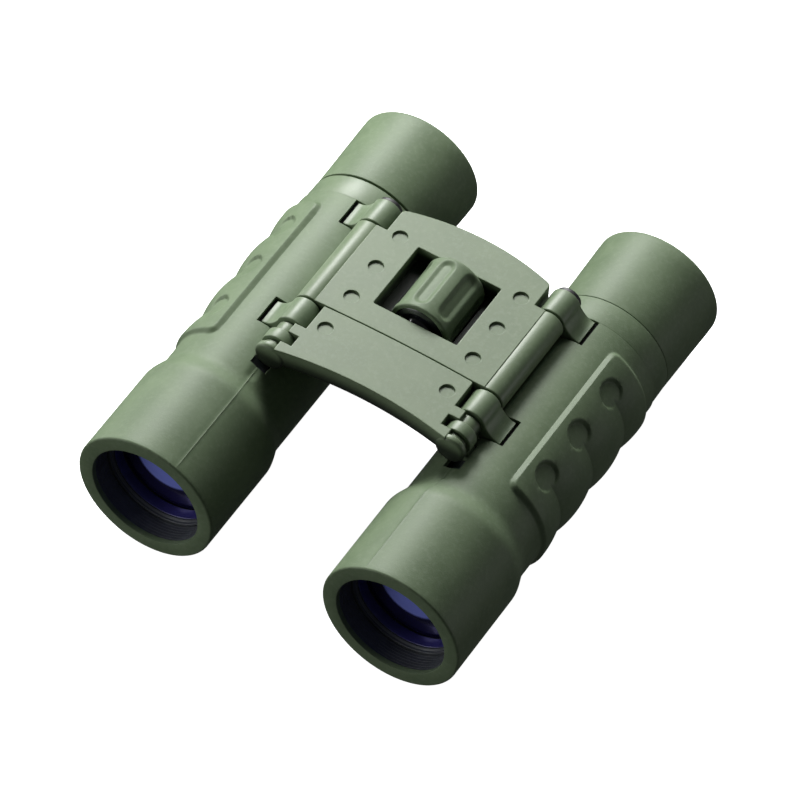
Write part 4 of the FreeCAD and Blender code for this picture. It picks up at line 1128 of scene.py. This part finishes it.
@dataclass
class Objective(SidePart):
    """One objective: its sliding cell, lock ring, lens, focus arm and the ribs of the hood."""

    cell_radius: float = 13.4
    cell_bore: float = 12.5
    cell_front: float = 6.0
    cell_back: float = 43.6
    ring_front: float = 7.2
    ring_back: float = 9.9
    ring_inner: float = 11.9
    arm_front: float = 38.6
    arm_back: float = 41.5
    arm_half: float = 1.8
    arm_foot: float = 13.35
    lens_curve: float = 62.0
    rib_count: int = 6
    rib_pitch: float = 0.75
    rib_first: float = 1.8
    rib_radius: float = 13.5
    rib_bead: float = 0.06

    def cell(self) -> bpy.types.Object:
        """The black cell, a tube with a stepped front edge."""
        solid = Solid()
        front, bore = self.cell_front, self.cell_bore
        solid.lathe(rounded([
            (bore, self.cell_back), (bore, front + 0.9, 0.1), (bore + 0.3, front + 0.5, 0.1),
            (bore + 0.3, front, 0.1), (self.cell_radius, front, 0.2), (self.cell_radius, self.cell_back),
        ]), self.centre, 128)
        return self.finished(solid, "cell_skin", Finish.ANODISED)

    def lock_ring(self) -> bpy.types.Object:
        """The ring that holds the lens; its violet colour is a painted reflection of the coating's light."""
        solid = Solid()
        front, back, inner, outer = self.ring_front, self.ring_back, self.ring_inner, self.cell_bore - 0.05
        solid.lathe(rounded([
            (inner, back - 0.4, 0.1), (inner + 0.3, front, 0.12), (outer, front, 0.1), (outer, back),
        ]), self.centre, 128)
        return self.finished(solid, "lock_ring_skin", Finish.VIOLET_RING)

    def lens(self) -> bpy.types.Object:
        """The coated front element: a domed face, a narrow edge and a shallow back."""
        low, high = self.site.span(self.name("crown_lens"))
        solid = Solid()
        radius, curve = self.cell_bore - 0.08, self.lens_curve
        face = [(r, low + curve - math.sqrt(curve ** 2 - r ** 2)) for r in np.linspace(0, radius, 14)]
        solid.lathe(np.array([*face, (radius, high - 1.6), (0.0, high)]), self.centre, 128)
        return self.finished(solid, "lens_skin", Finish.LENS)

    def focus_arm(self) -> bpy.types.Object:
        """The ring on the hinge pin and the bar that reaches down through the slot to the cell."""
        solid = Solid()
        r, half = self.tube_radius, self.arm_half
        reach = math.hypot(self.site.hinge_z, self.site.axis_x - self.site.hinge_x)
        down = math.atan2(-self.site.hinge_z, self.site.axis_x - self.site.hinge_x)
        spread = math.asin(half / r)
        turns = np.linspace(down + spread, down - spread + 2 * math.pi, 44)
        ring = [(r * math.cos(t), r * math.sin(t)) for t in turns]
        bar_end = reach - self.arm_foot
        foot = [(bar_end * math.cos(down) + s * half * math.sin(down),
                 bar_end * math.sin(down) - s * half * math.cos(down)) for s in (1, -1)]
        outline = self.about_hinge(ring + foot)
        solid.slab(outline, self.arm_front, self.arm_back, 0.25, [self.pin_bore()], axis=Axis.ALONG)
        return self.finished(solid, "focus_arm_skin", Finish.CASTING)

    def hood_ribs(self) -> bpy.types.Object:
        """Fine rings inside the hood that stop stray light, made by Geometry Nodes."""
        centre = self.site.place(np.array([[self.centre[0], self.rib_first, 0.0]]))[0]
        tree = Pattern("hood_ribs", {
            "Rings": self.rib_count,
            "Pitch": self.rib_pitch * MM,
            "Ring Radius": self.rib_radius * MM,
            "Bead": self.rib_bead * MM,
            "First": tuple(float(c) for c in centre),
        })
        step = tree.node("ShaderNodeCombineXYZ", {}, {"Y": tree.input("Pitch")})
        line = tree.node("GeometryNodeMeshLine", {}, {
            "Count": tree.input("Rings"), "Start Location": tree.input("First"), "Offset": step})
        hoop, bead = (tree.node("GeometryNodeCurvePrimitiveCircle", {}, {
            "Resolution": count, "Radius": tree.input(size)}) for count, size in ((96,
            "Ring Radius"), (6, "Bead")))
        ring = tree.node("GeometryNodeCurveToMesh", {}, {"Curve": hoop, "Profile Curve": bead})
        rings = tree.node("GeometryNodeInstanceOnPoints", {}, {
            "Points": line, "Instance": ring, "Rotation": (math.pi / 2, 0.0, 0.0)})
        return tree.piece(self.name("hood_ribs"), rings, Finish.ANODISED)

    def build(self) -> None:
        """Make the objective's pieces and hang them on their bodies."""
        self.dress(self.cell(), "objective", Finish.ANODISED, "objective_cell")
        self.dress(self.lock_ring(), "objective", Finish.ANODISED, "lock_ring")
        self.dress(self.lens(), "objective", Finish.LENS, "crown_lens")
        self.dress(self.focus_arm(), "objective", Finish.CASTING, "focus_arm")
        self.dress(self.hood_ribs(), "barrel", Finish.ANODISED)


# ---------------------------------------------------------------- patterns


class Pattern(Bench):
    """A Geometry Nodes tree with named inputs."""

    def __init__(self, name: str, sizes: dict[str, float | int | tuple[float, ...]]) -> None:
        """Start a tree.

        Args:
            name: the tree's name.
            sizes: its named inputs and their values; a whole number makes an integer input.
        """
        super().__init__(bpy.data.node_groups.new(name, "GeometryNodeTree"))
        self.sizes = sizes
        face = self.tree.interface
        face.new_socket("Geometry", in_out="OUTPUT", socket_type="NodeSocketGeometry")
        face.new_socket("Geometry", in_out="INPUT", socket_type="NodeSocketGeometry")
        kinds = {int: "NodeSocketInt", float: "NodeSocketFloat", tuple: "NodeSocketVector"}
        self.sockets = {key: face.new_socket(key, in_out="INPUT", socket_type=kinds[type(value)]).identifier
                        for key, value in sizes.items()}
        self.entry = self.tree.nodes.new("NodeGroupInput")

    def input(self, name: str) -> Wire:
        """The wire that brings in a named size."""
        return Wire(self, self.entry.outputs[name])

    def piece(self, name: str, geometry: Wire, finish: Finish,
              base: bpy.types.Mesh | None = None) -> bpy.types.Object:
        """Run the tree once and keep its result as a plain mesh.

        Args:
            name: the piece's name.
            geometry: the wire that carries the result.
            finish: the finish that is set on all of it.
            base: the mesh that the tree starts from, where it shapes one.

        Returns:
            The finished object, with no modifier left on it.
        """
        real = self.node("GeometryNodeRealizeInstances", {}, {0: geometry})
        painted = self.node("GeometryNodeSetMaterial", {}, {"Geometry": real, "Material": finish.material()})
        self.node("NodeGroupOutput", {}, {0: painted})
        start = linked(f"{name}_start", base or bpy.data.meshes.new(name))
        modifier = start.modifiers.new("pattern", "NODES")
        modifier.node_group = self.tree
        for key, value in self.sizes.items():
            modifier[self.sockets[key]] = value
        evaluated = start.evaluated_get(bpy.context.evaluated_depsgraph_get())
        mesh = bpy.data.meshes.new_from_object(evaluated)
        bpy.data.objects.remove(start)
        mesh.name = name
        mesh.shade_smooth()
        clean(mesh)
        return linked(name, mesh)


# ---------------------------------------------------------------- bridge


@dataclass
class Bridge:
    """The two plates between the barrels, their hinge tubes and what is on them."""

    site: Site
    top: float = 20.9
    base: float = 16.2
    seam: float = 52.1
    seam_bow: float = 0.42
    seam_gap: float = 0.15
    half: float = 21.6
    notch: float = 18.85
    tube_end: float = 77.8
    back: float = 84.6
    back_bow: float = 2.6
    back_corner: float = 1.1
    tube_radius: float = 3.6
    pin_radius: float = 1.5
    window_half: float = 10.55
    window_front: float = 58.7
    window_back: float = 77.4
    stud_radius: float = 1.75
    stud_depth: float = 0.55
    stud_x: float = 15.4
    stud_first: float = 57.5
    stud_pitch: float = 10.1
    front: float = 35.5
    front_bow: float = 2.3
    slot_front: float = 38.5
    slot_back: float = 41.6
    knuckle_back: float = 44.4
    front_stud: float = 46.8
    edge: float = 0.2
    neck_radius: float = 2.75
    horn: float = 1.7
    cap_front: float = 85.3
    cap_back: float = 86.5
    cap_radius: float = 3.1
    screw_head: float = 1.6
    screw_depth: float = 0.5
    screw_cross: tuple[float, float] = (2.0, 0.36)

    def stud(self, x: float, y: float) -> Pit:
        """A shallow round finger recess."""
        return Pit(np.array(arc((x, y), self.stud_radius, 0, 350, 35)), self.stud_depth, 0.12)

    def hinge_tube(self, solid: Solid, front: float, back: float, radius: float, bore: float) -> None:
        """A length of hinge tube on both sides."""
        self.hinge_turning(solid, [(bore, front), (radius, front, 0.3), (radius, back, 0.3), (bore, back)])

    def hinge_turning(self, solid: Solid, corners: Sequence[Corner]) -> None:
        """A profile turned about both hinge axes."""
        profile = rounded(corners)
        for side in Side:
            solid.lathe(profile, self.site.hinge(side), 72)

    def main_plate(self) -> bpy.types.Object:
        """The main plate with the wheel's window, six finger recesses and the long hinge tubes."""
        half, notch, seam, end, corner = self.half, self.notch, self.seam, self.tube_end, self.back_corner
        crest = self.back + 0.35
        rear = bowed((-notch + corner, crest), (notch - corner, crest), self.back_bow)
        outline = [
            (-half, seam), *bowed((-notch, seam), (notch, seam), self.seam_bow), (notch, seam),
            (half, seam),
            (half, end), (notch, end), (notch, self.back - 0.2, corner), (notch - corner, crest),
            *reversed(rear),
            (-notch, self.back - 0.2, corner), (-notch, end), (-half, end),
        ]
        w, front, back = self.window_half, self.window_front, self.window_back
        window = [(-w, front, 0.3), (w, front, 0.3), (w, back, 0.3), (-w, back, 0.3)]
        pits = [self.stud(side.value * self.stud_x, self.stud_first + k * self.stud_pitch)
                for side in Side for k in range(3)]
        solid = Solid()
        solid.slab(rounded(outline), self.base, self.top, self.edge, [rounded(window)], pits)
        self.hinge_tube(solid, seam, self.tube_end, self.tube_radius, self.pin_radius)
        return solid.finished("main_bridge_skin", [Finish.BRIDGE], self.site)

    def front_plate(self) -> bpy.types.Object:
        """The sliding plate with two finger recesses, four knuckles and a deep front skirt."""
        half, notch = self.half, self.notch
        slot = notch + 0.1
        back = self.seam - self.seam_gap
        right = [(notch, back, 0.5), (notch, self.knuckle_back), (half, self.knuckle_back),
                 (half, self.slot_back), (slot, self.slot_back), (slot, self.slot_front),
                 (half, self.slot_front)]
        left = [(-c[0], *c[1:]) for c in reversed(right)]
        bow = bowed((-half, self.front), (half, self.front), self.front_bow)
        seam = bowed((-notch + 0.6, back), (notch - 0.6, back), self.seam_bow)
        outline = [*bow, (half, self.front), *reversed(right), *reversed(seam), *reversed(left)]
        pits = [self.stud(side.value * self.stud_x, self.front_stud) for side in Side]
        solid = Solid()
        solid.slab(rounded(outline), self.base, self.top, self.edge, pits=pits)
        bore, neck, tube, front = self.pin_radius + 0.05, self.neck_radius, self.tube_radius, self.front
        horn = front + self.horn
        self.hinge_turning(solid, [
            (0, front), (tube, front, 1.3), (tube, horn, 0.3), (neck, horn, 0.2),
            (neck, self.slot_front, 0.2),
            (bore, self.slot_front), (bore, front + 1), (0, front + 1),
        ])
        self.hinge_tube(solid, self.slot_back, self.knuckle_back, neck, bore)
        return solid.finished("front_bridge_skin", [Finish.FRONT], self.site)

    def hinge_caps(self) -> None:
        """The two black caps behind the rear lugs."""
        for side in Side:
            solid = Solid()
            front, back, dent, radius = self.cap_front, self.cap_back, self.cap_back - 0.3, self.cap_radius
            solid.lathe(rounded([
                (0, front), (radius, front, 0.1), (radius, back, 0.5), (1.1, back, 0.3),
                (0.9, dent, 0.1), (0, dent),
            ]), self.site.hinge(side), 64)
            piece = solid.finished(f"{side.prefix}_hinge_cap_skin", [Finish.BLACK], self.site)
            dress(piece, "bridge", Finish.BLACK, f"{side.prefix}_hinge_cap")

    def cover_screws(self) -> bpy.types.Object:
        """Four cross-headed screws under the bridge, made by Geometry Nodes."""
        low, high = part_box("cover_screws")
        head, depth = self.screw_head * MM, self.screw_depth * MM
        centre = (low + high) / 2
        tree = Pattern("cover_screws", {
            "Head Radius": head,
            "Head Depth": depth,
            "Spread X": high.x - low.x - 2 * head,
            "Spread Y": high.y - low.y - 2 * head,
            "Centre": (centre.x, centre.y, low.z + depth / 2),
        })
        disc = tree.node("GeometryNodeMeshCylinder", {}, {
            "Vertices": 40, "Radius": tree.input("Head Radius"), "Depth": tree.input("Head Depth")})
        cross = tree.node("GeometryNodeMeshBoolean", {"operation": "UNION"})
        long, wide = (size * MM for size in self.screw_cross)
        for size in ((long, wide, depth), (wide, long, depth)):
            arm = tree.node("GeometryNodeMeshCube", {}, {"Size": size})
            tree.feed(cross.socket.node.inputs["Mesh 2"], arm)
        lowered = tree.node("GeometryNodeTransform", {}, {
            "Geometry": cross, "Translation": (0, 0, -0.3 * MM)})
        cut = tree.node("GeometryNodeMeshBoolean", {"operation": "DIFFERENCE"}, {
            "Mesh 1": disc, "Mesh 2": lowered})
        places = tree.node("GeometryNodeMeshGrid", {}, {
            "Size X": tree.input("Spread X"), "Size Y": tree.input("Spread Y"), "Vertices X": 2,
            "Vertices Y": 2})
        moved = tree.node("GeometryNodeTransform", {}, {
            "Geometry": places, "Translation": tree.input("Centre")})
        heads = tree.node("GeometryNodeInstanceOnPoints", {}, {"Points": moved, "Instance": cut})
        return tree.piece("cover_screw_heads", heads, Finish.STEEL)

    def build(self) -> None:
        """Make the bridge's pieces and hang them on their bodies."""
        dress(self.main_plate(), "bridge", Finish.BRIDGE, "main_bridge")
        dress(self.front_plate(), "front_bridge", Finish.FRONT, "front_bridge")
        dress(self.cover_screws(), "bridge", Finish.STEEL, "cover_screws")
        self.hinge_caps()


@dataclass
class FocusWheel:
    """The fluted wheel and the black disc in its front."""

    site: Site
    radius: float = 7.25
    front: float = 60.6
    back: float = 77.0
    round_edge: float = 0.9
    journal: float = 2.2
    journal_length: float = 2.9
    hub: float = 3.0
    nose: float = 2.2
    disc_radius: float = 6.1
    disc_depth: float = 0.8
    flutes: int = 7
    flute_turn: float = 102.0
    flute_half: float = 2.25
    flute_depth: float = 0.65
    flute_front: float = 61.9
    flute_back: float = 76.2

    def wheel(self) -> bpy.types.Object:
        """The wheel: a turned blank whose flutes a Geometry Nodes rule presses in."""
        blank = Solid()
        front, back, edge, disc = self.front, self.back, self.round_edge, self.disc_radius
        floor, tail, step = front + self.disc_depth, back + self.journal_length, back - 2.0
        outer = rounded([
            (self.hub, floor), (disc, floor, 0.1), (disc, front, 0.15), (self.radius, front, edge),
            (self.radius, back, edge), (self.journal, back, 0.1), (self.journal, tail), (0.0, tail),
            (0.0, step),
            (self.hub, step),
        ], 6)
        profile: list[np.ndarray] = []
        for here, after in zip(outer, np.roll(outer, -1, axis=0), strict=True):
            fluted = min(here[0], after[0]) > 7
            pieces = max(1, round(float(np.linalg.norm(after - here)) / 0.3)) if fluted else 1
            profile += [here + (after - here) * k / pieces for k in range(pieces)]
        blank.lathe(np.array(profile), (0.0, self.site.wheel_z), 280)
        base = blank.finished("wheel_blank", [Finish.WHEEL], self.site)
        middle_y = (self.flute_front + self.flute_back) / 2
        middle = self.site.place(np.array([[0.0, middle_y, self.site.wheel_z]]))[0]
        tree = Pattern("wheel_flutes", {
            "Flutes": self.flutes,
            "First Turn": math.radians(self.flute_turn),
            "Half Width": self.flute_half * MM,
            "Depth": self.flute_depth * MM,
            "Half Length": ((self.flute_back - self.flute_front) / 2 - self.flute_half) * MM,
            "Wheel Radius": self.radius * MM,
            "Middle Y": float(middle[1]),
            "Axis Z": float(middle[2]),
        })
        place = tree.split(tree.node("GeometryNodeInputPosition"))
        x, y, z = place, place.also("Y") - tree.input("Middle Y"), place.also("Z") - tree.input("Axis Z")
        reach = (x * x + z * z).call("SQRT")
        pitch = 2 * math.pi / tree.input("Flutes")
        turns = (z.call("ARCTAN2", x) - tree.input("First Turn")) / pitch
        off = (turns - turns.call("ROUND")) * pitch * tree.input("Wheel Radius")
        past = (y.call("ABSOLUTE") - tree.input("Half Length")).call("MAXIMUM", 0.0)
        share = (off * off + past * past).call("SQRT") / tree.input("Half Width")
        outside = (reach / tree.input("Wheel Radius")).call("GREATER_THAN", 0.9)
        press = (1 - share.eased(0.4, 1.0)) * outside * tree.input("Depth")
        push = tree.node("ShaderNodeCombineXYZ", {}, {"X": -1 * press * x / reach, "Z": -1 * press * z / reach})
        shaped = tree.node("GeometryNodeSetPosition", {}, {"Geometry": tree.input("Geometry"), "Offset": push})
        piece = tree.piece("focus_wheel_skin", shaped, Finish.WHEEL, base.data)
        bpy.data.objects.remove(base)
        return piece

    def disc(self) -> bpy.types.Object:
        """The glossy black disc, stepped and slightly domed."""
        solid = Solid()
        front, hub, bore, rim = self.front, self.hub, self.nose + 0.05, self.disc_radius - 0.04
        floor = front + self.disc_depth
        solid.lathe(rounded([
            (bore, front - 0.45), (hub, front - 0.45), (hub, floor), (rim, floor), (rim, front + 0.12, 0.2),
            (4.9, front - 0.3, 0.4), (4.3, front - 0.12, 0.15), (3.4, front - 0.25, 0.15),
            (3.0, front - 1.5, 0.3),
            (bore, front - 1.5, 0.1),
        ], 5), (0.0, self.site.wheel_z), 96)
        return solid.finished("focus_wheel_disc", [Finish.GLOSS], self.site)

    def build(self) -> None:
        """Make both pieces and hang them on the wheel's body."""
        dress(self.wheel(), "focus_wheel", Finish.WHEEL, "focus_wheel")
        dress(self.disc(), "focus_wheel", Finish.GLOSS, "focus_wheel_cap")


# ---------------------------------------------------------------- the stage


@dataclass(frozen=True)
class Studio:
    """The camera, floor and soft lights."""

    azimuth: float = 27.738
    elevation: float = 51.602
    roll: float = 4.891
    distance: float = 1418.774
    lens: float = 293.1
    aim: tuple[float, float, float] = (0.0, -7.0, 17.0)
    slide_right: float = 2.219
    slide_up: float = 2.294

    def camera(self) -> None:
        """Stand the camera at its angle, rolled a little."""
        a, e, roll = (math.radians(v) for v in (self.azimuth, self.elevation, self.roll))
        back = Vector((math.sin(a) * math.cos(e), -math.cos(a) * math.cos(e), math.sin(e)))
        right = Vector((math.cos(a), math.sin(a), 0.0))
        up = back.cross(right)
        aim = Vector(self.aim) + right * self.slide_right + up * self.slide_up
        data = bpy.data.cameras.new("camera")
        data.lens = self.lens
        data.sensor_width = 36.0
        data.clip_start, data.clip_end = 0.05, 50.0
        camera = linked("camera", data)
        level_right = right * math.cos(roll) + up * math.sin(roll)
        level_up = up * math.cos(roll) - right * math.sin(roll)
        turn = Matrix((level_right, level_up, back)).transposed().to_4x4()
        camera.matrix_world = Matrix.Translation((aim + back * self.distance) * MM) @ turn
        bpy.context.scene.camera = camera

    @staticmethod
    def light(name: str, towards: Colour, distance: float, size: Spot, watts: float) -> None:
        """A soft box that shines on the middle of the object from a direction."""
        data = bpy.data.lights.new(name, "AREA")
        data.shape = "RECTANGLE"
        data.size, data.size_y = size
        data.energy = watts
        lamp = linked(name, data)
        direction = Vector(towards).normalized()
        lamp.location = LIT_POINT + direction * distance
        lamp.rotation_mode = "QUATERNION"
        lamp.rotation_quaternion = direction.to_track_quat("Z", "Y")

    def floor(self) -> None:
        """A plain pale floor."""
        mesh = bpy.data.meshes.new("floor")
        corners = [(x * FLOOR_REACH, y * FLOOR_REACH, 0) for x, y in ((-1, -1), (1, -1), (1, 1), (-1, 1))]
        mesh.from_pydata(corners, [], [range(4)])
        floor = linked("floor", mesh)
        paint = Paintwork("pale_floor")
        mesh.materials.append(paint.surface(base_color=(0.86, 0.86, 0.86), roughness=0.9,
                                            emission_color=(1.0, 1.0, 1.0), emission_strength=1.0))
        floor.visible_diffuse = False
        floor.visible_glossy = False

    def build(self) -> None:
        """Set the stage."""
        self.camera()
        self.floor()
        for name, lamp in LAMPS.items():
            self.light(name, *lamp)
        world = bpy.data.worlds.new("studio")
        world.use_nodes = True
        background = world.node_tree.nodes["Background"]
        background.inputs["Color"].default_value = (0.95, 0.97, 1.0, 1.0)
        background.inputs["Strength"].default_value = 0.05
        bpy.context.scene.world = world
        bpy.context.scene.view_settings.view_transform = "Standard"


# ---------------------------------------------------------------- assembly


def dress(piece: bpy.types.Object, body: str, finish: Finish, *nodes: str) -> None:
    """Hang a piece on its body and the CAD nodes that it stands for."""
    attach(piece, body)
    if nodes:
        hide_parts(*nodes)
    log.info("%s rides on %s, %d faces", piece.name, body, len(piece.data.polygons))


def repaint_frame() -> None:
    """Give each CAD node that stays visible the finish of its material slot."""
    by_slot = {finish.slot: finish for finish in reversed(Finish)}
    # The cover under the wheel takes the bridge finish, so the well's floor gets painted shade.
    special = {"bridge_cover": Finish.BRIDGE}
    slots = {row["node"]: row["material_slot"] for row in frame["record"]["subparts"]}
    for name, node in frame["nodes"].items():
        material = special.get(name, by_slot[slots[name]]).material()
        node.data.materials.clear()
        node.data.materials.append(material)
        log.info("%s keeps its CAD shape in %s", name, material.name)


def main() -> None:
    """Build the stage and every piece in order."""
    logging.basicConfig(level=logging.INFO, format="%(name)s: %(message)s")
    site = Site.from_frame()
    Studio().build()
    repaint_frame()
    for side in Side:
        Barrel(site, side).build()
        Objective(site, side).build()
    Bridge(site).build()
    FocusWheel(site).build()


if __name__ == "__main__":
    main()
